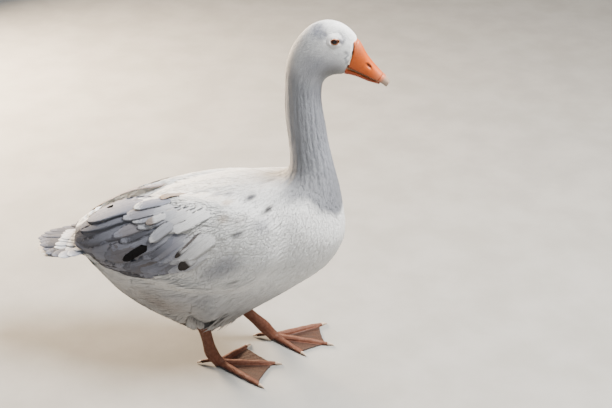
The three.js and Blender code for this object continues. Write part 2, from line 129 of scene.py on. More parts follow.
class GooseColours(bpy.types.PropertyGroup):
    """Colours of the plumage and of the bare parts."""

    white: colour_setting("White", "Breast, belly and the ground colour of the plumage", (0.86, 0.86, 0.85))
    grey: colour_setting("Grey", "Neck and the centres of the wing feathers", (0.27, 0.28, 0.335))
    brown: colour_setting("Brown", "Dull brown centres of some wing feathers", (0.27, 0.23, 0.21))
    dark: colour_setting("Dark", "The one black wing feather and the darkest spots", (0.02, 0.017, 0.02))
    bill: colour_setting("Bill", "Orange of the bill", (0.46, 0.078, 0.003))
    bill_pink: colour_setting("Bill pink", "Pink at the top and the tip of the bill", (0.46, 0.130, 0.055))
    nail: colour_setting("Nail", "Horn at the tip of the bill", (0.30, 0.215, 0.16))
    leg: colour_setting("Leg", "Orange-brown of the legs", (0.155, 0.052, 0.026))
    web: colour_setting("Web", "Webs between the toes", (0.048, 0.021, 0.013))
    claw: colour_setting("Claw", "Horn of the claws", (0.52, 0.40, 0.31))
    eye: colour_setting("Eye", "Iris", (0.018, 0.007, 0.005))
    lid: colour_setting("Eyelid", "Bare rim round the eye", (0.62, 0.20, 0.04))


def sizes():
    return bpy.context.scene.goose_sizes


def colour(name):
    return np.array(getattr(bpy.context.scene.goose_colours, name)[:])


# ---- points and meshes ----
def unit(vectors):
    return vectors / np.maximum(np.linalg.norm(vectors, axis=-1, keepdims=True), 1e-9)


def step(low, high, value):
    """0 below low, 1 above high and smooth between."""
    share = np.clip((value - low) / (high - low), 0, 1)
    return share * share * (3 - 2 * share)


def blend(a, b, share):
    """Colours from a to b, one for each share."""
    share = np.asarray(share)[..., None]
    return a * (1 - share) + b * share


def to_frame(points):
    return np.asarray(points) * MM + SHIFT


def from_frame(points):
    return (np.asarray(points) - SHIFT) / MM


def read_mesh(mesh):
    """Points in the bird's millimetres, and the triangles."""
    points = np.empty(len(mesh.vertices) * 3)
    mesh.vertices.foreach_get("co", points)
    mesh.calc_loop_triangles()
    triangles = np.empty(len(mesh.loop_triangles) * 3, dtype=np.int64)
    mesh.loop_triangles.foreach_get("vertices", triangles)
    return from_frame(points.reshape(-1, 3)), triangles.reshape(-1, 3)


def read_normals(mesh):
    normals = np.empty(len(mesh.vertices) * 3)
    mesh.vertices.foreach_get("normal", normals)
    return normals.reshape(-1, 3)


def new_mesh(name, points, corners, counts):
    """A mesh from points, the point of each face corner and the number of corners of each face."""
    mesh = bpy.data.meshes.new(name)
    mesh.vertices.add(len(points))
    mesh.vertices.foreach_set("co", to_frame(points).astype(np.float32).ravel())
    mesh.loops.add(len(corners))
    mesh.loops.foreach_set("vertex_index", np.asarray(corners, dtype=np.int32))
    mesh.polygons.add(len(counts))
    starts = np.concatenate([[0], np.cumsum(counts)[:-1]]).astype(np.int32)
    mesh.polygons.foreach_set("loop_start", starts)
    mesh.polygons.foreach_set("use_smooth", np.ones(len(counts), dtype=bool))
    mesh.update(calc_edges=True)
    return mesh


def new_piece(name, mesh, material, nodes=()):
    """Puts a mesh in the scene as a piece that rides on the bird and stands for the nodes."""
    piece = bpy.data.objects.new(name, mesh)
    bpy.context.scene.collection.objects.link(piece)
    mesh.materials.clear()
    mesh.materials.append(material)
    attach(piece, BODY)
    if nodes:
        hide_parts(*nodes)
    return piece


def paint(mesh, name, values):
    """Gives each point of a mesh a number, a vector or a colour."""
    values = np.asarray(values, dtype=np.float32)
    if values.ndim == 1:
        mesh.attributes.new(name, "FLOAT", "POINT").data.foreach_set("value", values)
    elif name.startswith("tint") or name.startswith("rim"):
        rgba = np.concatenate([values, np.ones((len(values), 1), dtype=np.float32)], axis=1)
        mesh.attributes.new(name, "FLOAT_COLOR", "POINT").data.foreach_set("color", rgba.ravel())
    else:
        mesh.attributes.new(name, "FLOAT_VECTOR", "POINT").data.foreach_set("vector", values.ravel())


def paint_map(mesh, places):
    """The bake map, from a place for each point."""
    layer = mesh.uv_layers.new(name="OFBake")
    corners = np.empty(len(mesh.loops), dtype=np.int32)
    mesh.loops.foreach_get("vertex_index", corners)
    layer.data.foreach_set("uv", np.asarray(places, dtype=np.float32)[corners].ravel())


def tube(rings):
    """Points, corners and counts of a closed shape through rings of equal length."""
    rings = np.asarray(rings)
    rows, around = rings.shape[:2]
    points = np.concatenate([rings.reshape(-1, 3), rings[:1].mean(axis=1), rings[-1:].mean(axis=1)])
    corners, counts = tube_faces(rows, around)
    return points, corners, counts


def tube_faces(rows, around):
    first = rows * around
    corners, counts = [], []
    for i in range(around):
        j = (i + 1) % around
        for k in range(rows - 1):
            corners += [k * around + i, k * around + j, (k + 1) * around + j, (k + 1) * around + i]
            counts.append(4)
        last = (rows - 1) * around
        corners += [first, j, i, first + 1, last + i, last + j]
        counts += [3, 3]
    return corners, counts


def outward(mesh):
    """Turns the faces of a closed mesh outwards."""
    points, triangles = read_mesh(mesh)
    a, b, c = (points[triangles[:, k]] for k in range(3))
    if np.einsum("ij,ij->i", a, np.cross(b, c)).sum() < 0:
        mesh.flip_normals()


def smooth_rows(table, rows):
    """A smooth row of values through the rows of a table."""
    table = np.asarray(table, dtype=float)
    ends = np.concatenate([2 * table[:1] - table[1:2], table, 2 * table[-1:] - table[-2:-1]])
    at = np.linspace(0, len(table) - 1, rows)
    k = np.minimum(at.astype(int), len(table) - 2)
    u = (at - k)[:, None]
    p0, p1, p2, p3 = (ends[k + n] for n in range(4))
    curve = 2 * p1 + (p2 - p0) * u + (2 * p0 - 5 * p1 + 4 * p2 - p3) * u**2
    return 0.5 * (curve + (3 * p1 - p0 - 3 * p2 + p3) * u**3)


def packed_solids(nodes):
    """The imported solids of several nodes: points, triangles and the number of the node each is of."""
    points, triangles, owners, base = [], [], [], 0
    for number, node in enumerate(nodes):
        p, t = read_mesh(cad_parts[node].data)
        points.append(p)
        triangles.append(t + base)
        owners.append(np.full(len(t), number))
        base += len(p)
    return np.concatenate(points), np.concatenate(triangles), np.concatenate(owners)


def solid_copy(name, nodes, grain, rounds, closing=0.0):
    """One closed mesh round several nodes, evened out. Gaps of up to twice the closing are filled."""
    points, triangles, _ = packed_solids(nodes)
    mesh = new_mesh(name, points, triangles.ravel(), np.full(len(triangles), 3))
    worker = bpy.data.objects.new(name, mesh)
    bpy.context.scene.collection.objects.link(worker)
    for out in (0.0, closing) if closing else (0.0,):
        if out:
            swell = worker.modifiers.new("swell", "DISPLACE")
            swell.mid_level, swell.strength = 0.0, out
        remesh = worker.modifiers.new("even", "REMESH")
        remesh.mode = "VOXEL"
        remesh.voxel_size = grain
    if closing:
        settle = worker.modifiers.new("settle", "SMOOTH")
        settle.factor, settle.iterations = 0.5, 3
        shrink = worker.modifiers.new("shrink", "DISPLACE")
        shrink.mid_level, shrink.strength = 0.0, -closing
    even = worker.modifiers.new("soft", "SMOOTH")
    even.factor = 0.5
    even.iterations = rounds
    graph = bpy.context.evaluated_depsgraph_get()
    made = bpy.data.meshes.new_from_object(worker.evaluated_get(graph))
    bpy.data.objects.remove(worker)
    bpy.data.meshes.remove(mesh)
    made.polygons.foreach_set("use_smooth", np.ones(len(made.polygons), dtype=bool))
    return made


def move_points(mesh, points):
    mesh.vertices.foreach_set("co", to_frame(points).astype(np.float32).ravel())
    mesh.update()


# ---- the lie of the coat ----
def along_spine(points):
    """For each point: where it is along the spine, the way to the tail, and the coat and middle there."""
    spine = np.stack([np.zeros(len(SPINE)), -SPINE[:, 0], SPINE[:, 1]], axis=1)
    ways = unit(np.gradient(spine, axis=0))
    near = ((points[:, None, 1:] - spine[None, :, 1:]) ** 2).sum(axis=2)
    weight = 1 / (near + 30.0) ** 2.5
    weight /= weight.sum(axis=1, keepdims=True)
    return weight @ np.arange(len(SPINE)), unit(weight @ ways), weight @ SPINE[:, 2:], weight @ spine


class Surface:
    """The skin as other pieces use it: nearest points, hits and normals."""

    def __init__(self, mesh):
        self.points, self.triangles = read_mesh(mesh)
        self.normals = unit(read_normals(mesh))
        self.tree = BVHTree.FromPolygons(self.points.tolist(), self.triangles.tolist())

    def normal_of(self, face):
        return unit(self.normals[self.triangles[face]].mean(axis=-2))

    def nearest(self, points):
        found = [self.tree.find_nearest(p) for p in points.tolist()]
        faces = np.array([f[2] for f in found])
        return np.array([f[0] for f in found]), self.normal_of(faces)

    def seen_from(self, starts, ways):
        """Where rays meet the skin. A ray that misses gets the nearest point to a place on it."""
        places, faces = [], []
        for start, way in zip(starts.tolist(), ways.tolist()):
            place, _, face, _ = self.tree.ray_cast(start, way)
            if place is None:
                middle = Vector(start) + Vector(way) * 200
                place, _, face, _ = self.tree.find_nearest(middle)
            places.append(place)
            faces.append(face)
        return np.array(places), self.normal_of(np.array(faces))


def eye_centre(side):
    return np.array((side * EYE_SIDE, -EYE_FORWARD, EYE_HEIGHT))


MADE = {}


def skin():
    if "skin" not in MADE:
        raise RuntimeError("make the skin first")
    return MADE["skin"]


# ---- markings and painted shade ----
# Spots of the plumage: forward, side, height, half length along the feathers, half width, colour, strength.
MARKS = (
    (-89, -59, 365, 7, 4.5, "grey_dark", 0.75),
    (-56, -78, 353, 8, 4, "dark", 0.75),
    (-102, -107, 318, 11, 4, "grey_dark", 0.6),
    (-63, -21, 382, 8, 4, "brown", 0.5),
    (-100, -95, 340, 12, 8, "brown", 0.3),
    (-129, -94, 339, 8, 7, "tan", 0.4),
    (-60, -88, 330, 12, 9, "grey", 0.35),
    (-120, -62, 352, 7, 5, "tan", 0.45),
    (-150, -48, 362, 7, 5, "grey", 0.55),
    (-130, -50, 366, 7, 5, "grey", 0.5),
    (-110, -113, 224, 12, 3, "grey_dark", 0.45),
    (-115, -117, 265, 22, 16, "grey", 0.45),
    (-140, -117, 246, 26, 14, "grey", 0.5),
    (-262, -84, 160, 34, 22, "brown", 0.30),
    (-225, -84, 145, 34, 16, "brown", 0.30),
    (-180, -100, 175, 50, 14, "grey", 0.22),
    (33, -20.6, 644, 4, 3, "grey_dark", 0.55),
    (24, -11, 655, 4, 3, "grey_dark", 0.35),
    (18, -15, 650, 12, 9, "grey", 0.60),
    (26, -22, 643, 9, 6, "grey", 0.45),
    (14, -5, 655, 5, 3, "grey_dark", 0.3),
    (59.6, -19, 631.4, 3.4, 2.8, "grey_dark", 0.75),
    (59, -16.4, 642, 8, 6, "grey", 0.35),
    (66.5, -17.9, 613.7, 2.6, 2.2, "grey_dark", 0.5),
    (69, -15.7, 595.3, 3.4, 3, "grey_dark", 0.5),
    (-95, 60, 362, 8, 5, "grey_dark", 0.6),
    (-70, 84, 345, 9, 5, "grey", 0.6),
    (-118, 104, 320, 10, 5, "brown", 0.5),
    (-60, 34, 378, 7, 4, "brown", 0.4),
    (-262, 84, 165, 34, 22, "brown", 0.25),
    (-140, 117, 246, 26, 14, "grey", 0.45),
    (22, 14, 651, 10, 8, "grey", 0.5),
    (58, 18, 634, 4, 3, "grey_dark", 0.6),
)


# The lower edge of the large wing feathers: forward, and degrees up round the body.
WING_EDGE = ((-411, -362, -303, -250, -205, -190), (30, 7, 6, 9, 18, 30))
# Speckled places of the head: forward, side, height and reach.
SPECKLED = ((20, -14, 650, 15), (58, -17, 634, 8), (64, -17, 606, 9), (20, 14, 650, 14), (60, 17, 632, 8))


def named_colour(name):
    if name == "grey_dark":
        return colour("grey") * 0.28
    if name == "tan":
        return np.array((0.50, 0.36, 0.24))
    return colour(name)


def ripple(points, lengths, seed):
    """Smooth noise between -1 and 1 from a few waves of about the given lengths."""
    rng = np.random.default_rng(seed)
    total = np.zeros(len(points))
    for length in lengths:
        for _ in range(3):
            way = unit(rng.normal(size=3)) * 2 * math.pi / (length * rng.uniform(0.7, 1.4))
            total += np.sin(points @ way + rng.uniform(0, 6.3))
    return total / (3 * len(lengths))


def furrows(points, along, ways, middle):
    """The furrows of the neck: -1 in a furrow to 1 on a ridge, and how strongly they show."""
    across = np.array((1.0, 0, 0))
    forward = unit(np.cross(across, ways))
    out = points - middle
    angle = np.arctan2(out[:, 0], (out * forward).sum(axis=1))
    wander = 0.7 * ripple(points * (0.3, 0.3, 1.0), (60, 130), 5)
    ridge = 0.45 * np.sin(17 * angle + 4.2 * wander) + 0.35 * np.sin(31 * angle - 3.1 * wander + 1)
    ridge += 0.35 * np.sin(23 * angle + 5 * ripple(points * (0.3, 0.3, 1.0), (40, 90), 15))
    share = step(NECK_TOP - 1.2, NECK_TOP + 1, along) * (1 - step(NECK_BASE - 0.6, NECK_BASE + 0.9, along))
    return ridge, share


# Head patches with painted shade on cheek and throat: forward, height and how far they reach each way.
HEAD_SHADES = {"cheek": (22, 588, 34, 24), "throat": (48, 576, 24, 15), "hind": (8, 632, 22, 24)}
# The lower edge of the flank, where shade is painted: forward, and its height.
FLANK_EDGE = ((-300, -232, -200, -150, -110, -60), (190, 140, 118, 108, 112, 134))
BRIGHTEST = 0.92


def ways_of(points):
    """How far forward, how high and how far to the left each point is."""
    return -points[:, 1], points[:, 2], points[:, 0]


def neck_marking_and_shade(shade, points, along, ways, middle, wander):
    """The grey of the neck starts under the cheeks and ends in a scalloped patch above the breast."""
    forward, height, side = ways_of(points)
    front = np.clip((forward + middle[:, 1]) / 40, -1, 1)
    top = step(592, 548, height + 10 * wander + 0.25 * (forward - 20))
    foot = 366 - 34 * step(5, 60, forward) - 6 * np.abs(np.sin(side / 13))
    neck = top * step(foot - 9, foot + 9, height + 5 * wander)
    neck *= step(-62, -12, forward + 6 * wander)
    neck_grey = colour("grey") * (0.90, 0.92, 0.92)
    # Painted shade: the grey darkens towards the base of the neck.
    neck_grey = neck_grey * (1 - 0.40 * step(450, 375, height))[:, None]
    shade = blend(shade, neck_grey, 0.86 * neck * (0.92 + 0.12 * front))
    ridge, furrowed = furrows(points, along, ways, middle)
    # Painted shade in the furrows of the neck.
    return shade * (1 - 0.06 * (furrowed * step(0.2, -0.8, ridge))[:, None])


def head_marking_and_shade(shade, points, wander):
    """The sides of the head are a faint grey, deepest under the cheek, and the throat is dark."""
    forward, height, side = ways_of(points)
    cheek, throat, hind = (
        np.exp(-(((forward - fore) / fore_reach) ** 2) - ((height - up) / up_reach) ** 2)
        for fore, up, fore_reach, up_reach in (HEAD_SHADES[name] for name in ("cheek", "throat", "hind")))
    cheek = cheek * step(6, 18, np.abs(side))
    # The grey under the cheek is partly the plumage's own and partly painted shade.
    cheek_grey_and_shade = np.clip(0.80 * cheek * (1 + 0.4 * wander), 0, 0.75)
    shade = blend(shade, colour("grey") * 1.15, cheek_grey_and_shade * step(545, 575, height))
    # Painted shade under the chin and on the throat.
    shade = blend(shade, shade * (0.40, 0.38, 0.37), 0.85 * throat)
    hind = hind * step(3, 14, np.abs(side))
    mottled = np.clip(0.26 * hind * (1 + ripple(points, (7, 11), 3)), 0, 0.5)
    return blend(shade, colour("grey") * 1.2, mottled)


def painted_body_shade(shade, points, wander):
    """Painted shade under the large feathers of the wing, on the belly and along the lower flanks."""
    forward, height, side = ways_of(points)
    angle = np.degrees(np.arctan2(height - axis_height(forward), np.abs(side)))
    over_edge = angle - np.interp(forward, *WING_EDGE)
    # Painted shade under the large feathers of the wing, dark in the gaps between them.
    under = step(2, 10, over_edge) * step(-205, -262, forward) * step(80, 66, angle)
    shade = blend(shade, colour("grey") * 0.45, 0.9 * under)
    # Painted shade on the belly and the underside, deepest lowest down.
    low = step(246, 132, height + 0.12 * np.maximum(forward + 120, 0))
    shade = blend(shade, shade * (0.38, 0.38, 0.395), low * (0.85 + 0.15 * wander))
    # Painted shade along the lower edge of the flank, a little uneven.
    edge = height - np.interp(forward, *FLANK_EDGE)
    flank = np.exp(-((edge / 17) ** 2)) * step(-310, -240, forward) * step(-60, -110, forward)
    return blend(shade, shade * (0.74, 0.72, 0.70), 0.75 * flank * (1 + 0.3 * ripple(points, (14, 25), 6)))


def spots(shade, points, ways, middle):
    """The marks and the speckled places."""
    away = unit(points - middle)
    for fore, across, up, length, width, name, strength in MARKS:
        out = points - (across, -fore, up)
        out = out - away * np.clip((out * away).sum(axis=1), -9, 9)[:, None]
        lengthwise = (out * ways).sum(axis=1)
        sideways = np.sqrt(np.maximum((out**2).sum(axis=1) - lengthwise**2, 0))
        near = np.exp(-((lengthwise / (1.15 * length)) ** 2 + (sideways / (1.25 * width)) ** 2) ** 1.4)
        shade = blend(shade, named_colour(name), np.clip(1.25 * strength, 0, 0.97) * near)
    for fore, across, up, reach in SPECKLED:
        near = np.exp(-((((points - (across, -fore, up)) / reach) ** 2).sum(axis=1)) ** 1.5)
        speckle = step(0.0, 0.4, ripple(points, (4.5, 7), 31))
        shade = blend(shade, colour("grey") * 0.85, 0.8 * near * speckle)
    return shade


def markings_and_shade(points):
    """The colour of the plumage at each point with its painted shade, for the skin and the coat alike."""
    along, ways, _, middle = along_spine(points)
    wander = ripple(points, (22, 45), 11)
    shade = np.tile(colour("white"), (len(points), 1))
    shade = neck_marking_and_shade(shade, points, along, ways, middle, wander)
    shade = head_marking_and_shade(shade, points, wander)
    shade = painted_body_shade(shade, points, wander)
    shade = spots(shade, points, ways, middle)
    # The whole coat varies a little.
    shade = shade * (1 + 0.035 * ripple(points, (9, 30), 17)[:, None])
    return np.clip(shade, 0, BRIGHTEST)


# ---- materials ----
class Finish:
    """A material, with short ways to add and join its nodes."""

    def __init__(self, name, roughness=0.6, **fixed):
        self.material = bpy.data.materials.new(name)
        self.material.use_nodes = True
        self.tree = self.material.node_tree
        self.shader = self.tree.nodes["Principled BSDF"]
        self.shader.inputs["Roughness"].default_value = roughness
        for socket, value in fixed.items():
            self.shader.inputs[socket.replace("_", " ")].default_value = value

    def node(self, kind, settings=None, **inputs):
        """Adds a node. Its inputs go by name, or by number as _0, _1 and so on."""
        node = self.tree.nodes.new("ShaderNode" + kind)
        for key, value in (settings or {}).items():
            setattr(node, key, value)
        for key, value in inputs.items():
            socket = node.inputs[int(key[1:])] if key[1:].isdigit() else node.inputs[key.replace("_", " ")]
            self.feed(socket, value)
        return node

    def feed(self, socket, value):
        if isinstance(value, bpy.types.Node):
            value = value.outputs[0]
        if isinstance(value, bpy.types.NodeSocket):
            self.tree.links.new(value, socket)
        elif isinstance(value, (tuple, list, np.ndarray)) and len(value) == 3 and socket.type == "RGBA":
            socket.default_value = (*value, 1)
        else:
            socket.default_value = value

    def sum(self, operation, a, b=0.0, c=0.0):
        return self.node("Math", {"operation": operation}, _0=a, _1=b, _2=c)

    def ramp(self, value, low, high, to_low=0.0, to_high=1.0, kind="SMOOTHSTEP"):
        return self.node("MapRange", {"interpolation_type": kind}, Value=value, From_Min=low, From_Max=high,
                         To_Min=to_low, To_Max=to_high)

    def mix(self, share, a, b, kind="MIX"):
        node = self.node("Mix", {"data_type": "RGBA", "blend_type": kind}, _0=share, _6=a, _7=b)
        return node.outputs[2]

    def painted(self, name):
        return self.node("Attribute", {"attribute_name": name})

    def place(self):
        return self.node("TexCoord").outputs["Object"]

    def noise(self, scale, detail=3.0, rough=0.55, stretch=None):
        place = self.place()
        if stretch:
            place = self.node("Mapping", _0=place, Scale=stretch)
        return self.node("TexNoise", Vector=place, Scale=scale, Detail=detail, Roughness=rough)

    def bump(self, height, distance, strength=1.0, under=None):
        inputs = {"Height": height, "Distance": distance, "Strength": strength}
        if under is not None:
            inputs["Normal"] = under
        return self.node("Bump", **inputs)

    def soft_lie(self, share):
        """The way the surface faces, mixed with the lie of the body under it."""
        own = self.tree.nodes.new("ShaderNodeNewGeometry").outputs["Normal"]
        turned = {"vector_type": "NORMAL", "convert_from": "OBJECT", "convert_to": "WORLD"}
        lie = self.node("VectorTransform", turned, Vector=self.painted("lie").outputs["Vector"])
        apart = self.node("VectorMath", {"operation": "SUBTRACT"}, _0=lie, _1=own)
        mixed = self.node("VectorMath", {"operation": "MULTIPLY_ADD"}, _0=apart, _1=(share,) * 3, _2=own)
        return self.node("VectorMath", {"operation": "NORMALIZE"}, _0=mixed)

    def finish(self, base, roughness=None, normal=None):
        self.feed(self.shader.inputs["Base Color"], base)
        if roughness is not None:
            self.feed(self.shader.inputs["Roughness"], roughness)
        if normal is not None:
            self.feed(self.shader.inputs["Normal"], normal)
        return self.material


def skin_finish():
    f = Finish("down", 0.9, Specular_IOR_Level=0.15)
    mottle = f.noise(420, 4)
    base = f.mix(f.ramp(mottle, 0.3, 0.7, 0.0, 0.14), f.painted("tint"), (0.30, 0.29, 0.29), "MULTIPLY")
    return f.finish(base, f.ramp(mottle, 0.2, 0.8, 0.8, 0.97), f.bump(mottle, 0.0006, 0.8))


def feather_finish(name, barb_width=1.0, barb_depth=0.0002, edge=0.72, shaft=0.0, lie=0.8):
    """Vanes: a middle colour, a rim colour at the edges and the tip, fine barbs and, on quills, a shaft."""
    f = Finish(name, 0.8, Specular_IOR_Level=0.10, Sheen_Weight=0.04, Sheen_Roughness=0.5)
    vane = f.node("SeparateXYZ", Vector=f.painted("vane").outputs["Vector"])
    aside = f.sum("ABSOLUTE", vane.outputs["Y"])
    wobble = f.noise(230, 2)
    ragged = f.sum("MULTIPLY_ADD", wobble, 0.30, -0.15)
    rim = f.ramp(f.sum("ADD", aside, ragged), edge, 0.97)
    tip = f.ramp(f.sum("ADD", vane.outputs["X"], ragged), 0.83, 0.985)
    share = f.sum("MAXIMUM", rim, tip)
    base = f.mix(share, f.painted("tint"), f.painted("rim"))
    barb = f.sum("SINE", f.sum("MULTIPLY", f.painted("barb").outputs["Fac"], 2 * math.pi / barb_width))
    base = f.mix(f.ramp(barb, -1.0, 1.0, 0.0, 0.09, "LINEAR"), base, (0.45, 0.45, 0.47), "MULTIPLY")
    cloud = f.noise(75, 4, 0.6)
    base = f.mix(f.ramp(cloud, 0.35, 0.7, 0.0, 0.16), base, (0.62, 0.61, 0.63), "MULTIPLY")
    height = f.sum("ADD", f.sum("MULTIPLY", barb, 0.5), f.noise(900, 2))
    if shaft:
        quill = f.ramp(aside, 0.035, 0.085, 1.0, 0.0)
        base = f.mix(f.sum("MULTIPLY", quill, shaft), base, (0.60, 0.58, 0.56), "MULTIPLY")
        height = f.sum("ADD", height, f.sum("MULTIPLY", quill, 2.0))
    rough = f.ramp(wobble, 0.3, 0.7, 0.66, 0.86)
    return f.finish(base, rough, f.bump(height, barb_depth, 0.7, f.soft_lie(lie)))


# ---- the skin ----
MELT_ROUNDS = 80
SKIN_ROUNDS, DEPTH_ROUNDS = 16, 6  # how often the skin and the depth of the coat are evened out
DEEPEST_SHARE = 0.30  # the most the skin goes in, as a share of how thick the body is there
THROUGH_REACH = 60.0  # how far that thickness is looked for
GAP_CLOSING = 5 * MM  # half the widest gap, under the edge of the wing


class GOOSE_OT_skin(bpy.types.Operator):
    """One skin under all the feathers, set in from the tips of the coat by its depth"""

    bl_idname = "goose.skin"
    bl_label = "Skin"

    def execute(self, context):
        mesh = solid_copy("skin", FLESH, sizes().skin_grain, SKIN_ROUNDS, GAP_CLOSING)
        points, triangles = read_mesh(mesh)
        edges = np.empty(len(mesh.edges) * 2, dtype=np.int64)
        mesh.edges.foreach_get("vertices", edges)
        a, b = edges.reshape(-1, 2).T
        links = np.maximum(np.bincount(a, minlength=len(points)) + np.bincount(b, minlength=len(points)), 1)

        def around(values):
            """The mean of each point's neighbours."""
            return (np.bincount(a, values[b], len(points)) + np.bincount(b, values[a], len(points))) / links

        # The front of the folded wing melts into the breast and the flank.
        forward, height = -points[:, 1], points[:, 2]
        melt = step(-215, -160, forward) * step(0, -30, forward) * step(120, 150, height)
        melt *= step(385, 350, height)
        melt *= step(35, 55, np.abs(points[:, 0]))
        for _ in range(MELT_ROUNDS):
            even = np.stack([around(points[:, k]) for k in range(3)], axis=1)
            points += (0.5 * melt)[:, None] * (even - points)
        move_points(mesh, points)
        normals = unit(read_normals(mesh))
        along, ways, coat, middle = along_spine(points)
        # Where the body is thin, as at the wing tips and the tail, the skin goes in by less.
        tree = BVHTree.FromPolygons(points.tolist(), triangles.tolist())
        through = np.full(len(points), THROUGH_REACH)
        for i, (start, way) in enumerate(zip((points - normals * 0.2).tolist(), (-normals).tolist())):
            place, _, _, distance = tree.ray_cast(start, way, THROUGH_REACH)
            if place is not None:
                through[i] = distance
        depth = np.minimum(coat[:, 0], DEEPEST_SHARE * through)
        for _ in range(DEPTH_ROUNDS):
            depth = 0.5 * depth + 0.5 * around(depth)
        ridge, share = furrows(points, along, ways, middle)
        depth -= ridge * share * sizes().neck_furrow / MM
        move_points(mesh, points - normals * depth[:, None])
        paint(mesh, "tint", markings_and_shade(points))
        new_piece("skin", mesh, skin_finish(), FLESH)
        MADE["skin"] = Surface(mesh)
        MADE["outer"] = outer_nodes()
        return {"FINISHED"}


def outer_nodes():
    """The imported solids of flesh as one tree, with the node that each triangle is of."""
    points, triangles, owners = packed_solids(FLESH)
    return BVHTree.FromPolygons(points.tolist(), triangles.tolist()), owners


# ---- small feathers ----
# The faces of one blade of a tuft: its root, two rows of three points and its tip.
BLADE_FACES = ((0, 1, 2), (0, 2, 3), (0, 3, 1), (1, 4, 5, 2), (2, 5, 6, 3), (3, 6, 4, 1),
               (7, 5, 4), (7, 6, 5), (7, 4, 6))
# What is painted on every feather, for its material to read.
PAINTED = ("vane", "barb", "lie", "tint", "rim")


def fan(blades, reach, round_end, thick, rng):
    """A soft tuft: thin blades side by side from one root. Points are along, across and up."""
    rings, corners, counts = [], [], []
    spread = np.linspace(-1, 1, blades) if blades > 1 else np.zeros(1)
    for number, aside in enumerate(spread):
        end = 1 - round_end * aside**2 + rng.uniform(-0.05, 0.04)
        aside = aside + rng.uniform(-0.06, 0.06)
        across = lambda along: aside * (0.16 + (1 - reach / blades) * along**0.8)
        rise = 0.35 * thick * (number % 2)
        base = len(rings) * 8
        points = [(0, across(0), 0)]
        for share, half in ((0.50, 1.1 * reach / blades), (0.86, 0.95 * reach / blades)):
            along = share * end
            points += [(along, across(along) - half, rise), (along, across(along), rise + thick),
                       (along, across(along) + half, rise)]
        points.append((end, across(end), 0.2 * thick))
        rings.append(points)
        for face in BLADE_FACES:
            corners += [base + n for n in face]
            counts.append(len(face))
    return np.array(rings).reshape(-1, 3), np.array(corners), np.array(counts)


def scatter(surface, seed):
    """Roots spread evenly over the skin, closer together where the tufts are small."""
    rng = np.random.default_rng(seed)
    a, b, c = (surface.points[surface.triangles[:, k]] for k in range(3))
    area = 0.5 * np.linalg.norm(np.cross(b - a, c - a), axis=1)
    spacing = along_spine((a + b + c) / 3)[2][:, 3] * sizes().tuft_spacing
    chance = area / spacing**2
    face = rng.choice(len(area), int(7 * chance.sum()), p=chance / chance.sum())
    u, v = rng.random((2, len(face)))
    u, v = np.where(u + v > 1, 1 - u, u), np.where(u + v > 1, 1 - v, v)
    roots = a[face] + (b - a)[face] * u[:, None] + (c - a)[face] * v[:, None]
    level = np.round(np.log2(spacing[face]) / 0.12)
    turned = roots @ np.array(Matrix.Rotation(0.7, 3, (1, 2, 3)))
    cells = np.floor(turned / (2 ** (level * 0.12))[:, None]).astype(np.int64)
    _, chosen = np.unique(np.column_stack([cells, level.astype(np.int64)]), axis=0, return_index=True)
    return roots[chosen], surface.normal_of(face[chosen])


def around_spine(points, middle):
    """The angle of each point round the spine."""
    over = points[:, 2] - middle[:, 2] + 1e-6 - 0.35 * (points[:, 1] - middle[:, 1])
    return np.arctan2(points[:, 0], over)


def paint_feathers(mesh, places, painted):
    """Gives a mesh of feathers its bake map and everything in PAINTED."""
    paint_map(mesh, np.concatenate(places))
    for name in PAINTED:
        paint(mesh, name, np.concatenate(painted[name]))


FLAT_ENOUGH, CREASED_BELOW = 0.40, 0.55  # how alike the skin faces at a feather's two ends
PATCH_WIDTH = 0.003  # of each tuft on the bake map


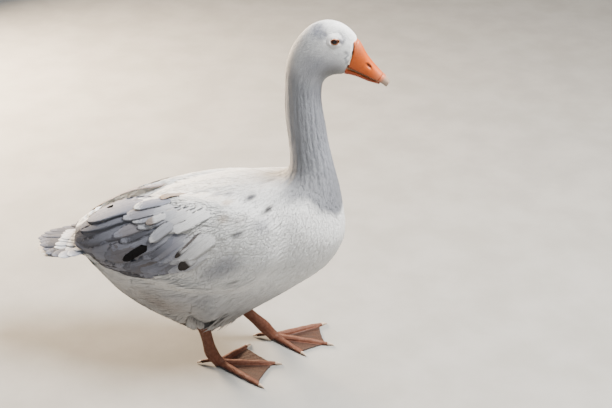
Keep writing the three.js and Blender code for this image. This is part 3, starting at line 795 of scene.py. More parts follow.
def tufts(name, roots, normals, ways, length, width, lift, hang, templates, material, seed):
    """One piece of many small feathers, each with its root in the skin and its tip along its way.

    Those that hang point straight down. A feather that would stand off a crease of the skin is left out."""
    rng = np.random.default_rng(seed)
    _, far_normals = skin().nearest(roots + unit(ways) * length[:, None])
    fits = ((normals * far_normals).sum(axis=1) > FLAT_ENOUGH) | hang
    roots, normals, ways, length, width, lift, hang = (
        v[fits] for v in (roots, normals, ways, length, width, lift, hang))
    count = len(roots)
    ways = unit(ways - normals * (ways * normals).sum(axis=1, keepdims=True))
    beside = np.cross(normals, ways)
    yaw = rng.normal(0, 0.10, count)[:, None]
    ways = unit(ways * np.cos(yaw) + beside * np.sin(yaw))
    ways = np.where(hang[:, None], unit(0.16 * normals + (0, 0.10, -1.0)), ways)
    length = length * rng.uniform(0.86, 1.14, count)
    straight = roots + ways * length[:, None]
    tips, tip_normals = skin().nearest(straight)
    # Over a crease a tuft goes straight on instead of down into it.
    creased = (((normals * tip_normals).sum(axis=1) < CREASED_BELOW) | hang)[:, None]
    tips = np.where(creased, straight - normals * (0.12 * length)[:, None], tips)
    tip_normals = np.where(creased, normals, tip_normals)
    halfway, halfway_normals = skin().nearest((roots + tips) / 2)
    halfway = np.where(creased, (roots + tips) / 2 + normals * (0.04 * length)[:, None], halfway)
    halfway_normals = np.where(creased, normals, halfway_normals)
    lift = lift * rng.uniform(0.7, 1.3, count)
    start = roots - normals * 0.6
    end = tips + tip_normals * lift[:, None]
    over = halfway + halfway_normals * (0.5 * lift + 0.010 * length)[:, None]
    bend = 2 * over - (start + end) / 2
    beside = unit(np.cross(unit(normals + tip_normals), ways))
    kinds = rng.integers(0, len(templates), count)
    points, corners, counts, places, base = [], [], [], [], 0
    painted = {kind: [] for kind in PAINTED}
    row, _, _, middle = along_spine(roots)
    home = np.stack([around_spine(roots, middle) / (2 * math.pi) + 0.5, row / len(SPINE)], axis=1)
    for number, (shape, shape_corners, shape_counts) in enumerate(templates):
        at = np.flatnonzero(kinds == number)
        if not len(at):
            continue
        along, across, up = shape.T
        u = along[None, :, None]
        path = start[at, None] * (1 - u) ** 2 + 2 * bend[at, None] * u * (1 - u) + end[at, None] * u**2
        rise = unit(normals[at, None] * (1 - u) + tip_normals[at, None] * u)
        aside = (across[None] * width[at, None])[..., None]
        put = path + beside[at, None] * aside + rise * up[None, :, None]
        points.append(put.reshape(-1, 3))
        painted["lie"].append(unit(rise + beside[at, None] * (0.16 * across)[None, :, None]).reshape(-1, 3))
        shift = base + np.arange(len(at))[:, None] * len(shape)
        corners.append((shape_corners[None] + shift).ravel())
        counts.append(np.tile(shape_counts, len(at)))
        base += len(at) * len(shape)
        patch = np.stack([across * 0.5, along - 0.5], axis=1) * PATCH_WIDTH
        places.append((home[at, None] + patch[None]).reshape(-1, 2))
        random = rng.random(len(at))
        vane = np.stack(np.broadcast_arrays(along[None], across[None], random[:, None]), axis=2)
        painted["vane"].append(vane.reshape(-1, 3))
        barb = along[None] * length[at, None] + 0.8 * np.abs(across[None]) * width[at, None]
        painted["barb"].append(barb.ravel())
        varied = np.repeat(rng.uniform(0.95, 1.03, len(at)), len(shape))
        tint = markings_and_shade(put.reshape(-1, 3)) * varied[:, None]
        painted["tint"].append(tint)
        painted["rim"].append(1 - (1 - tint) * 0.92)
    mesh = new_mesh(name, np.concatenate(points), np.concatenate(corners), np.concatenate(counts))
    outward_tufts(mesh)
    paint_feathers(mesh, places, painted)
    # Down lets the light through, so the small feathers throw no shadow. The skin under them does.
    new_piece(name, mesh, material).visible_shadow = False


TRIED_FACES = 3000  # enough to tell which way the tufts of a piece are wound


def outward_tufts(mesh):
    """Turns the tufts of a piece outwards. All are wound alike, so a sum over the first faces tells."""
    points, triangles = read_mesh(mesh)
    middle = points[triangles].mean(axis=1)
    some = slice(0, TRIED_FACES)
    a, b, c = (points[triangles[some, k]] for k in range(3))
    normal = np.cross(b - a, c - a)
    _, lie = skin().nearest(middle[some])
    tops = (normal * lie).sum(axis=1)
    heights = ((middle[some] - skin().nearest(middle[some])[0]) * lie).sum(axis=1)
    if (tops * (heights - np.median(heights))).sum() < 0:
        mesh.flip_normals()


def lie_of_coat(roots, ways, owner):
    """The way the feathers point: along the body, down and back over the wings, and down the thighs."""
    ways = ways.copy()
    side = np.sign(roots[:, 0] + 1e-9)
    winged = np.array(["wing" in node for node in FLESH])[owner]
    forward, height = -roots[:, 1], roots[:, 2]
    slope = 0.35 + 0.5 * step(370, 300, height) - 0.55 * step(250, 200, height)
    over_wing = np.stack([np.zeros(len(roots)), np.ones(len(roots)), -slope], axis=1)
    share = np.where(winged, step(-60, -130, forward), 0.0)[:, None]
    ways = unit(ways * (1 - share) + unit(over_wing) * share)
    for leg in LEGS.values():
        near = np.exp(-(((roots - leg["hock"]) / THIGH_SIZE) ** 2).sum(axis=1)) * (side == leg["side"])
        ways = unit(ways * (1 - near[:, None]) + np.array((0, 0.25, -1.0)) * near[:, None])
    return ways


def owners_of(points):
    tree, owners = MADE["outer"]
    return owners[[tree.find_nearest(p)[2] for p in points.tolist()]]


# Pieces of the coat: name, from and to along the spine, and whether each side is a piece of its own.
COATS = (
    ("coat_face", -1, 2.6, True), ("coat_crown", 2.6, 4.6, False), ("coat_nape", 4.6, 6.6, False),
    ("coat_neck", 6.6, 9.2, True), ("coat_neck_base", 9.2, 12.4, True), ("coat_breast", 12.4, 14.6, True),
    ("coat_body", 14.6, 17.2, True), ("coat_rump", 17.2, 30, True),
)
FINE_UP_TO = 10  # along the spine, in front of this the tufts are fine
TROUSER_REACH = 25.0  # how far from the shank the feathers over it hang
TROUSER_TOP = 140  # the height below which they hang
TROUSER_LENGTH, THIGH_LENGTH = 17.0, 15.0
THIGH_SIZE = (34, 40, 60)  # how far round the hock the feathers turn down: aside, forward and up
BARE_EYE, SHORT_ROUND_EYE = 10.4, 16  # from the middle of the eye: no feathers, and short ones
QUILLS_FROM = -190  # behind this the large feathers cover the wing
TAIL_COAT_END, COAT_END = -400, -412  # where the small feathers end on top of the tail, and everywhere
FLUFF_LIFT, LOOSE_LIFT = 17, 2.4  # how far the feathers stand off round the legs and under the belly
BROAD_WIDER = 1.15  # the broad tufts of the mantle against the usual width
TEMPLATES = 6  # shapes of each kind of tuft


def from_nearest_eye(points):
    eyes = np.array([eye_centre(side) for side in (-1, 1)])
    return np.sqrt(((points[:, None] - eyes) ** 2).sum(axis=2).min(axis=1))


def feathered(roots, normals, along, names):
    """Which of the roots grow a small feather."""
    forward, height, side = ways_of(roots)
    keep = from_nearest_eye(roots) > BARE_EYE
    # The root of the bill is bare, in front and where its corners reach back over the face.
    keep &= ~((normals[:, 1] < -0.93) & (along < 0.9))
    keep &= ~((forward > 75.2) & (height > 611) & (height < 628.8 + 0.55 * (forward - 76)))
    keep &= (names != "tail") | (forward > TAIL_COAT_END) | (normals[:, 2] < -0.3)
    # Under the large feathers of the wing, up to the edge of the back, nothing small grows.
    angle = np.degrees(np.arctan2(height - axis_height(forward), np.abs(side)))
    covered = angle > np.interp(forward, *WING_EDGE)
    back_edge = np.interp(forward, (-400, -240, -200), (80, 78, 66))
    keep &= ~(covered & (forward < QUILLS_FROM) & (angle < back_edge))
    keep &= forward > COAT_END
    out = unit(np.stack([side, 0 * forward, height - axis_height(forward)], axis=1))
    on_rim = (normals * out).sum(axis=1) < np.where(forward < QUILLS_FROM, 0.05, 0.42)
    keep &= ~(on_rim & (normals[:, 1] > -0.2) & np.char.startswith(names, "wing"))
    # Nothing grows in the crease under the edge of the wing.
    tree = skin().tree
    for i in np.flatnonzero(keep & (forward < -60) & (angle < 45)):
        start = roots[i] + normals[i] * 1.0 + out[i] * 1.5
        keep[i] = tree.ray_cast(start.tolist(), out[i].tolist(), 40)[0] is None
    return keep


def coat_sizes(roots, normals, along, coat, names, rng):
    """Length, width and lift of each small feather, and whether it hangs straight down."""
    forward, height, side = ways_of(roots)
    length = coat[:, 1] * sizes().tuft_length
    width = coat[:, 2] * (1 - 0.36 * step(8, 14, along))
    winged = np.char.startswith(names, "wing")
    length = length * (1 + 0.35 * winged * step(-60, -110, forward))
    from_eye = from_nearest_eye(roots)
    before_eye = (from_eye < SHORT_ROUND_EYE) & (forward > EYE_FORWARD)
    length = np.where(before_eye, length * np.clip((from_eye - 6.5) / 8, 0.4, 1), length)
    lift = 0.07 * coat[:, 0] + 0.12
    # The fluff under the belly hangs loose, and the ruff of the thighs covers the top of the legs.
    loose = step(150, 95, height) * step(-60, -110, forward)
    lift = lift + LOOSE_LIFT * loose
    fluff = np.exp(-(((forward + 160) / 46) ** 4)) * step(142, 116, height)
    fluff *= step(100, 78, np.abs(side))
    fluff *= rng.uniform(0.25, 1.0, len(roots))
    lift, length = lift + FLUFF_LIFT * fluff, length * (1 + 0.25 * fluff)
    thighs = np.char.startswith(names, "thigh")
    lift, length = np.where(thighs, 1.2, lift), np.where(thighs, THIGH_LENGTH, length)
    # Round the top of each shank they hang down like the end of a trouser leg.
    hang = np.zeros(len(roots), dtype=bool)
    for leg in LEGS.values():
        from_shank = np.hypot(roots[:, 0] - leg["hock"][0], roots[:, 1] - leg["hock"][1])
        hang |= (from_shank < TROUSER_REACH) & (height < TROUSER_TOP) & (normals[:, 2] < 0.1)
    length, lift = np.where(hang, TROUSER_LENGTH, length), np.where(hang, 0.4, lift)
    return length, width, lift, hang


class GOOSE_OT_coat(bpy.types.Operator):
    """The small feathers of the head, neck, breast, back and belly"""

    bl_idname = "goose.coat"
    bl_label = "Coat"

    def execute(self, context):
        rng = np.random.default_rng(SEEDS["coat"])
        roots, normals = scatter(skin(), SEEDS["roots"])
        along, ways, coat, _ = along_spine(roots)
        owner = owners_of(roots)
        keep = feathered(roots, normals, along, np.array(FLESH)[owner])
        roots, normals, ways, coat, along, owner = (
            v[keep] for v in (roots, normals, ways, coat, along, owner))
        names = np.array(FLESH)[owner]
        ways = lie_of_coat(roots, ways, owner)
        length, width, lift, hang = coat_sizes(roots, normals, along, coat, names, rng)
        plumage = feather_finish("contour feathers", 0.55, 0.00005, lie=0.9)
        soft = [fan(7, 1.9, 0.55, 0.12, rng) for _ in range(TEMPLATES)]
        fine = [fan(3, 1.35, 0.30, 0.16, rng) for _ in range(TEMPLATES)]
        vanes = [fan(7, 2.4, 0.50, 0.10, rng) for _ in range(TEMPLATES)]
        broad = (np.char.startswith(names, "wing") | (normals[:, 2] > 0.45)) & (along > 12.6)

        def grow(label, part, wider, shapes, seed):
            tufts(label, roots[part], normals[part], ways[part], length[part], wider * width[part],
                  lift[part], hang[part], shapes, plumage, seed)

        # Broad tufts lie over the wings and the back, fine ones on the head and neck, soft ones elsewhere.
        sides = (("_right", roots[:, 0] < 0), ("_left", roots[:, 0] >= 0))
        for number, (name, low, high, parted) in enumerate(COATS):
            here = (along >= low) & (along < high) & ~broad
            halves = [(name + label, here & half) for label, half in sides] if parted else [(name, here)]
            for label, part in halves:
                grow(label, part, 1.0, soft if high > FINE_UP_TO else fine, SEEDS["small"] + number)
        for number, (label, half) in enumerate(sides):
            grow("mantle" + label, broad & half, BROAD_WIDER, vanes, SEEDS["mantle"] + number)
        return {"FINISHED"}


# ---- large feathers of the wings and the tail ----
# Each group runs from its first feather to its last. roots and tips are three places that the group passes,
# as forward and degrees up round the body; lifts are how far the root and the tip stand off the skin.
# tint and rim are the middle and the edge; shares of grey over white, or of dark over grey above 1.
WING_GROUPS = (
    ("primary", 7, ((-215, 16), (-225, 22), (-240, 36)), ((-300, 11), (-356, 14), (-411, 37)),
     22, (1.2, 2.0), 0.8, 1.86, 1.72),
    ("secondary", 11, ((-120, 30), (-155, 42), (-215, 58)), ((-208, 19), (-290, 18), (-380, 24)),
     27, (1.6, 2.8), 0.6, 1.80, 1.30),
    ("tertial", 7, ((-200, 48), (-222, 60), (-236, 74)), ((-338, 30), (-408, 33), (-386, 72)),
     42, (3.0, 4.4), 0.7, 1.66, 1.35),
    ("greater_covert", 12, ((-112, 38), (-150, 48), (-205, 62)), ((-192, 27), (-246, 28), (-322, 48)),
     25, (2.2, 3.6), 0.6, 1.84, 1.15),
    ("scapular", 7, ((-125, 54), (-156, 60), (-196, 66)), ((-206, 48), (-262, 54), (-306, 62)),
     25, (3.0, 4.2), 0.5, 1.45, 0.75),
)
# Feathers that stand out: name, side, root and tip on the wing, width, lift at the tip, middle, edge, and
# the share of the feather, from its root, that stays pale.
LONE_FEATHERS = (
    ("black", -1, (-232, 47), (-303, 28.5), 14.5, 6.0, "black", "black", 0.0),
    ("over_black", -1, (-188, 57), (-254, 45), 20, 6.8, "soft_grey", "pale", 0.0),
    ("curved_spot", -1, (-154, 29), (-201, 18.5), 17, 4.4, "brown_spot", "brown_spot", 0.70),
    ("brown_grey", -1, (-180, 76), (-246, 74), 21, 3.4, "brown_grey", "tan_edge", 0.0),
    ("brown_streak", -1, (-146, 46), (-205, 31), 3.6, 4.6, "streak", "streak", 0.0),
    ("brown_tip", -1, (-170, 38), (-207, 29.5), 8, 5.0, "brown_spot", "brown_spot", 0.74),
    ("spotted", -1, (-205, 60), (-262, 57), 15, 6.2, "brown_grey", "brown_grey", 0.80),
    ("grey_streak", -1, (-199, 69), (-290, 70), 20, 5.0, "grey", "white", 0.0),
)


def axis_height(forward):
    trunk = SPINE[KEEL:]
    return np.interp(-np.asarray(forward), -trunk[:, 0], trunk[:, 1])


def on_body(forward, degrees, side):
    """The places on the skin at a distance forward and an angle up round the body, and the normals there."""
    forward, degrees = np.asarray(forward, dtype=float), np.radians(degrees)
    out = np.stack([side * np.cos(degrees), np.zeros_like(degrees), np.sin(degrees)], axis=-1)
    centre = np.stack([np.zeros_like(forward), -forward, axis_height(forward)], axis=-1)
    return skin().seen_from(centre + out * 300, -out)


# A large feather has these rows of points from root to tip. Each row runs across the top and back below it.
ACROSS = np.array((-1, -0.62, -0.2, 0, 0.2, 0.62, 1, 0.5, 0, -0.5))
UPWARD = np.array((-0.04, 0.10, 0.18, 0.50, 0.18, 0.10, -0.04, -0.12, -0.20, -0.12))
BODY_RADIUS, TAIL_RADIUS = 95.0, 300.0  # that the vanes bend over
SPLIT_CHANCE = 0.14
QUILL_ROWS = np.array((0.0, 0.06, 0.16, 0.28, 0.40, 0.52, 0.63, 0.73, 0.82, 0.89, 0.945, 0.98, 1.0))


def quill_width(rng, blunt=0.72):
    """Half width along a large feather as a share of its most, with a few splits in the vane."""
    s = QUILL_ROWS
    rounded = np.clip((s - blunt) / (1.004 - blunt), 0, 1)
    half = (0.10 + 0.90 * step(0.0, 0.22, s)) * np.sqrt(np.clip(1 - rounded**2, 0, 1))
    splits = np.where(rng.random((2, len(s))) < SPLIT_CHANCE, rng.uniform(0.84, 0.94, (2, len(s))), 1.0)
    return half * splits[0], half * splits[1]


def evened(values, rounds=3):
    """A row of values with its kinks averaged out, its ends kept."""
    values = values.copy()
    for _ in range(rounds):
        values[1:-1] = 0.25 * values[:-2] + 0.5 * values[1:-1] + 0.25 * values[2:]
    return values


def quill(path, normals, width, lift, roll, rng, blunt=0.72, radius=BODY_RADIUS):
    """The rings of one large feather along a path: shaft, two vanes and a thin underside.

    The vanes bend down over a body of the given radius, and roll lifts one edge over the neighbour."""
    path, normals = evened(path), unit(evened(normals, 5))
    ways = unit(np.gradient(path, axis=0))
    beside = unit(np.cross(normals, ways))
    left, right = quill_width(rng, blunt)
    rings = []
    for k, share in enumerate(QUILL_ROWS):
        aside = ACROSS * np.where(ACROSS < 0, left[k], right[k]) * width / 2
        height = lift[0] + (lift[1] - lift[0]) * share + roll * 2 * aside / width
        height += UPWARD * (1 - 0.7 * share)
        # The root goes down through the coat, deepest at its two edges.
        height -= (lift[0] + 2.2 + 5.5 * (2 * aside / width) ** 2) * step(0.54, 0.04, share)
        height -= aside**2 / (2 * radius)
        rings.append(path[k] + beside[k] * aside[:, None] + normals[k] * height[:, None])
    lies = unit(normals[:, None] + beside[:, None] * (0.22 * ACROSS)[None, :, None])
    return np.array(rings), lies


class Quills:
    """Gathers large feathers into one piece."""

    def __init__(self, cells):
        self.cells, self.size = cells, 0
        self.points, self.corners, self.counts, self.places = [], [], [], []
        self.painted = {kind: [] for kind in PAINTED}

    def add(self, shape, width, tint, rim, random):
        """Adds a feather. Its tint and rim are one colour each, or one for each row."""
        rings, lies = shape
        points, corners, counts = tube(rings)
        self.painted["lie"].append(np.concatenate([lies.reshape(-1, 3), lies[0, 3:4], lies[-1, 3:4]]))
        length = np.linalg.norm(np.diff(rings[:, 3], axis=0), axis=1).sum()
        along = np.append(np.repeat(QUILL_ROWS, len(ACROSS)), (0, 1))
        across = np.append(np.tile(ACROSS, len(QUILL_ROWS)), (0, 0))
        number = len(self.points)
        cell = np.array((number % self.cells, number // self.cells))
        self.corners += [c + self.size for c in corners]
        self.counts += counts
        self.size += len(points)
        self.points.append(points)
        self.painted["vane"].append(np.column_stack([along, across, np.full(len(along), random)]))
        self.painted["barb"].append(along * length + 0.8 * np.abs(across) * width / 2)
        for kind, given in (("tint", tint), ("rim", rim)):
            rows = np.broadcast_to(given, (len(QUILL_ROWS), 3))
            both = np.concatenate([np.repeat(rows, len(ACROSS), axis=0), rows[:1], rows[-1:]])
            self.painted[kind].append(both)
        self.places.append((cell + np.column_stack([0.5 + 0.4 * across, 0.08 + 0.84 * along])) / self.cells)

    def piece(self, name, material, slot, nodes):
        mesh = new_mesh(name, np.concatenate(self.points), np.array(self.corners), np.array(self.counts))
        paint_feathers(mesh, self.places, self.painted)
        mesh.validate()
        new_piece(name, mesh, material, nodes)


WING_CELLS, TAIL_CELLS = 9, 7  # feathers in a row on the bake map of the piece


def grey_share(share):
    """The colour for a share: 0 is white, 1 is grey and 2 is nearly black."""
    share = np.asarray(share, dtype=float)
    pale = blend(colour("white"), colour("grey"), np.clip(share, 0, 1))
    return blend(pale, colour("grey") * 0.10, np.clip(share - 1, 0, 1))


def wing_grey(forward, degrees):
    """How grey the wing is at a place: white in front, grey behind and low down."""
    return step(150, 262, -forward - 0.9 * np.maximum(degrees - 25, 0))


def feather_colour(name):
    own = {"brown_spot": colour("brown") * 0.16, "brown_grey": colour("brown") * 0.95,
           "tan_edge": (0.38, 0.28, 0.20), "black": colour("dark") * 0.25,
           "streak": colour("brown") * (0.62, 0.66, 0.70),
           "pale": blend(colour("white"), colour("grey"), 0.45),
           "soft_grey": blend(colour("white"), colour("grey"), 0.8)}
    return np.array(own[name]) if name in own else named_colour(name)


def wing_quills(side, rng):
    quills = Quills(WING_CELLS)
    for name, count, roots, tips, width, lifts, roll, middle, edge in WING_GROUPS:
        from_places, to_places = smooth_rows(roots, count), smooth_rows(tips, count)
        for i in range(count):
            wander = rng.uniform(-1, 1, 4) * (4, 1.6, 4, 1.6)
            root, tip = from_places[i] + wander[:2], to_places[i] + wander[2:]
            bow = 2.5 * np.sin(np.pi * QUILL_ROWS)
            forward = root[0] + (tip[0] - root[0]) * QUILL_ROWS
            degrees = root[1] + (tip[1] - root[1]) * QUILL_ROWS + bow
            path, normals = on_body(forward, degrees, side)
            place = 0.6 * wing_grey(forward, degrees) + 0.4 * wing_grey(forward[-1], degrees[-1])
            place = np.ones_like(place) if name == "primary" else place
            shade = middle * rng.uniform(0.66, 1.10) * place
            tint, rim = grey_share(shade), grey_share(edge * rng.uniform(0.8, 1.2) * place)
            tint = blend(tint, colour("brown") * 1.3, max(0, rng.uniform(-0.4, 0.28)) * place)
            # Painted sunlight: on the far wing the tertials and scapulars get tan edges and a tan cast.
            if side > 0 and name in ("tertial", "scapular"):
                rim = blend(rim, feather_colour("tan_edge"), np.array(0.85))
                tint = blend(tint, feather_colour("tan_edge"), np.array(0.35))
            across = width * rng.uniform(0.9, 1.1)
            # Each feather lies over its lower neighbour.
            rings = quill(path, normals, across, lifts, -roll * side, rng)
            quills.add(rings, across, tint, rim, rng.random())
    for name, own_side, root, tip, width, lift, middle, edge, pale in LONE_FEATHERS:
        if own_side != side:
            continue
        forward = root[0] + (tip[0] - root[0]) * QUILL_ROWS
        degrees = root[1] + (tip[1] - root[1]) * QUILL_ROWS + 1.5 * np.sin(np.pi * QUILL_ROWS)
        path, normals = on_body(forward, degrees, side)
        rings = quill(path, normals, width, (lift - 2.0, lift), -0.3 * side, rng, 0.8)
        marked = step(pale - 0.05, pale + 0.03, QUILL_ROWS)
        tint, rim = (blend(feather_colour("pale"), feather_colour(kind), marked) for kind in (middle, edge))
        quills.add(rings, width, tint, rim, rng.random())
    return quills


class GOOSE_OT_wings(bpy.types.Operator):
    """The large feathers of the folded wings"""

    bl_idname = "goose.wings"
    bl_label = "Wing feathers"

    def execute(self, context):
        finish = feather_finish("wing feathers", 1.0, 0.0001, 0.82, 0.22)
        for label, side in (("right", -1), ("left", 1)):
            quills = wing_quills(side, np.random.default_rng(SEEDS[f"wing_{label}"]))
            quills.piece(f"quills_wing_{label}", finish, "wing_feathers", (f"wing_{label}",))
        return {"FINISHED"}


# The fan of the tail, seen from above: forward and side of the tips, from the middle feather outwards.
TAIL_TIPS = ((-486, 4), (-482, 16), (-476, 27), (-468, 38), (-458, 48), (-445, 56), (-430, 60), (-414, 57))


# The pale coverts over the root of the tail: forward of each row, its reach, feathers and half spread.
COVERT_ROWS = ((-376, 70, 8, 30), (-366, 60, 9, 36), (-352, 56, 9, 40))
TAIL_CLEARANCE = 1.2  # the most that a feather of the tail is raised to clear the skin
TAIL_ROOTS = 372.0  # how far back the large feathers of the tail start
TAIL_WIDTH, COVERT_WIDTH = 22, 20
PALE_FROM = 6  # from this feather outwards the tail is paler
ABOVE_ALL = 400.0  # a height over the tail, to look down from


def tail_height(flat):
    """The height at which the feathers of the tail lie, clear of the skin under them."""
    height = 228.5 - 0.095 * (flat[:, 1] - 400)
    starts = np.column_stack([flat, np.full(len(flat), ABOVE_ALL)])
    seen, _ = skin().seen_from(starts, np.tile((0, 0, -1.0), (len(flat), 1)))
    under = (np.hypot(*(seen[:, :2] - flat).T) < 2) & (flat[:, 1] > 412)
    return height + 0.4 + min(TAIL_CLEARANCE, np.max((seen[:, 2] - height)[under], initial=0))


class GOOSE_OT_tail(bpy.types.Operator):
    """The tail: a fan of large feathers with pale coverts over its root"""

    bl_idname = "goose.tail"
    bl_label = "Tail feathers"

    def execute(self, context):
        rng = np.random.default_rng(SEEDS["tail"])
        quills = Quills(TAIL_CELLS)
        finish = feather_finish("tail feathers", 1.0, 0.0001, 0.86, 0.25)
        for number, (forward, across) in reversed(list(enumerate(TAIL_TIPS))):
            for side in (-1, 1):
                root = np.array((side * (4 + 0.42 * across), TAIL_ROOTS))
                tip = np.array((side * across, -forward)) + rng.uniform(-1.5, 1.5, 2)
                flat = root + (tip - root) * QUILL_ROWS[:, None]
                drop = 4.6 * (across / 60) ** 2
                height = tail_height(flat) - drop * step(380, 460, flat[:, 1])
                path = np.column_stack([flat, height + 0.35 * (len(TAIL_TIPS) - number)])
                normals = np.tile(unit(np.array((side * 0.16 * across / 60, 0, 1.0))), (len(path), 1))
                # Tail grey: partly its own colour, partly painted shade, also on the paler outer feathers.
                pale = number >= PALE_FROM
                tint = grey_share(0.9 if pale else 1.84 * rng.uniform(0.88, 1.06))
                rim = grey_share(0.5 if pale else 1.45)
                rings = quill(path, normals, TAIL_WIDTH, (0, 0.2), 0.5 * side, rng, 0.80, TAIL_RADIUS)
                quills.add(rings, TAIL_WIDTH, tint, rim, rng.random())
        for row, (forward, reach, count, spread) in enumerate(COVERT_ROWS):
            for share in np.linspace(-1, 1, count):
                root = np.array((share * spread * 0.6, -forward)) + rng.uniform(-2, 2, 2)
                tip = root + (share * spread * 0.55, reach)
                flat = root + (tip - root) * QUILL_ROWS[:, None]
                height = tail_height(flat) + 3.4 + 0.8 * row - 3.5 * share**2
                path = np.column_stack([flat, height])
                normals = np.tile(unit(np.array((0.12 * share, 0, 1.0))), (len(path), 1))
                # The pale coverts are greyed a little as painted shade.
                tint = grey_share(0.45 + 0.3 * rng.random())
                rings = quill(path, normals, COVERT_WIDTH, (0, 0.6), 0, rng, 0.7, TAIL_RADIUS)
                quills.add(rings, COVERT_WIDTH, tint, grey_share(0.4), rng.random())
        quills.piece("quills_tail", finish, "tail_feathers", ("tail",))
        return {"FINISHED"}


# ---- bill ----
# Sections of the bill: forward and height of its ridge, the same of its lower edge, and its half width.
UPPER_BILL = ((82.6, 632.8, 67, 585.8, 14.3), (90.5, 621, 76, 582.3, 13.7), (99, 606, 87, 577.5, 12.5),
              (110, 591.5, 100, 571.6, 11.8), (122, 578.5, 113, 565.8, 11), (131, 569.5, 123, 560.5, 9),
              (136.5, 561, 131, 553.5, 5.2))
LOWER_BILL = ((66.4, 584.4, 63, 572, 12.6), (76, 581.4, 75, 570.4, 12), (87, 576.6, 86, 567.4, 11.2),
              (100, 570.6, 98.5, 562.4, 10.2), (112, 565.1, 110, 559.2, 8.8), (121, 560.7, 119, 556.4, 6))
# The gape, where the comb stands: forward, height and half width.
GAPE = ((69, 585.4, 13.2), (78, 582.0, 12.4), (88, 577.6, 11.4), (101, 571.9, 10.6), (113, 566.2, 9.6),
        (121, 562.2, 7.6))
UPPER_ROWS, UPPER_AROUND = 90, 64
LOWER_ROWS, LOWER_AROUND = 60, 48
NOSTRIL = (103.0, 590.0)  # forward and height
NAIL_START = 0.72  # as a share of the way to the tip
LOBE_ROWS, LOBE_REACH, LOBE_RISE = 5, 7.0, 4.0  # of the corners that go back over the face


def bill_rings(table, level, power, rows, around):
    """Rings of a bill from its sections, with each ring's share of the way to the tip and its angles."""
    shape = smooth_rows(table, rows)
    angle = np.linspace(0, 2 * math.pi, around, endpoint=False)
    cos, sin = np.cos(angle), np.sin(angle)
    rings = np.zeros((rows, around, 3))
    back = np.stack([np.zeros(rows), -shape[:, 0], shape[:, 1]], axis=1)
    front = np.stack([np.zeros(rows), -shape[:, 2], shape[:, 3]], axis=1)
    centre = front + (back - front) * level
    for i in range(around):
        end = back if sin[i] > 0 else front
        rings[:, i] = centre + (end - centre) * abs(sin[i]) ** (2 / power)
        rings[:, i, 0] = shape[:, 4] * np.sign(cos[i]) * abs(cos[i]) ** (2 / power)
    return rings, np.linspace(0, 1, rows), angle


def ring_normals(rings):
    around = np.roll(rings, -1, axis=1) - np.roll(rings, 1, axis=1)
    normals = unit(np.cross(around, np.gradient(rings, axis=0)))
    middle = rings.mean(axis=1, keepdims=True)
    return normals * np.sign((normals * (rings - middle)).sum(axis=2).mean())


def bill_finish(name, kind):
    base_rough = {"bill": 0.42, "nail": 0.34, "comb": 0.5}[kind]
    f = Finish(name, base_rough, Specular_IOR_Level=0.45, Coat_Weight=0.08, Coat_Roughness=0.35)
    pits = f.noise(900, 3)
    stain = f.noise(170, 4, 0.6)
    base = f.mix(f.ramp(stain, 0.38, 0.72, 0.0, 0.35), f.painted("tint"), (0.62, 0.50, 0.46), "MULTIPLY")
    base = f.mix(f.ramp(pits, 0.6, 0.8, 0.0, 0.25), base, (0.9, 0.62, 0.5), "SCREEN")
    rough = f.ramp(stain, 0.3, 0.7, base_rough - 0.06, base_rough + 0.14)
    grain = f.noise(260, 3, 0.6, (1.0, 1.0, 0.35))
    height = f.sum("ADD", f.sum("MULTIPLY", pits, 0.4), grain)
    return f.finish(base, rough, f.bump(height, 0.00025, 0.55))


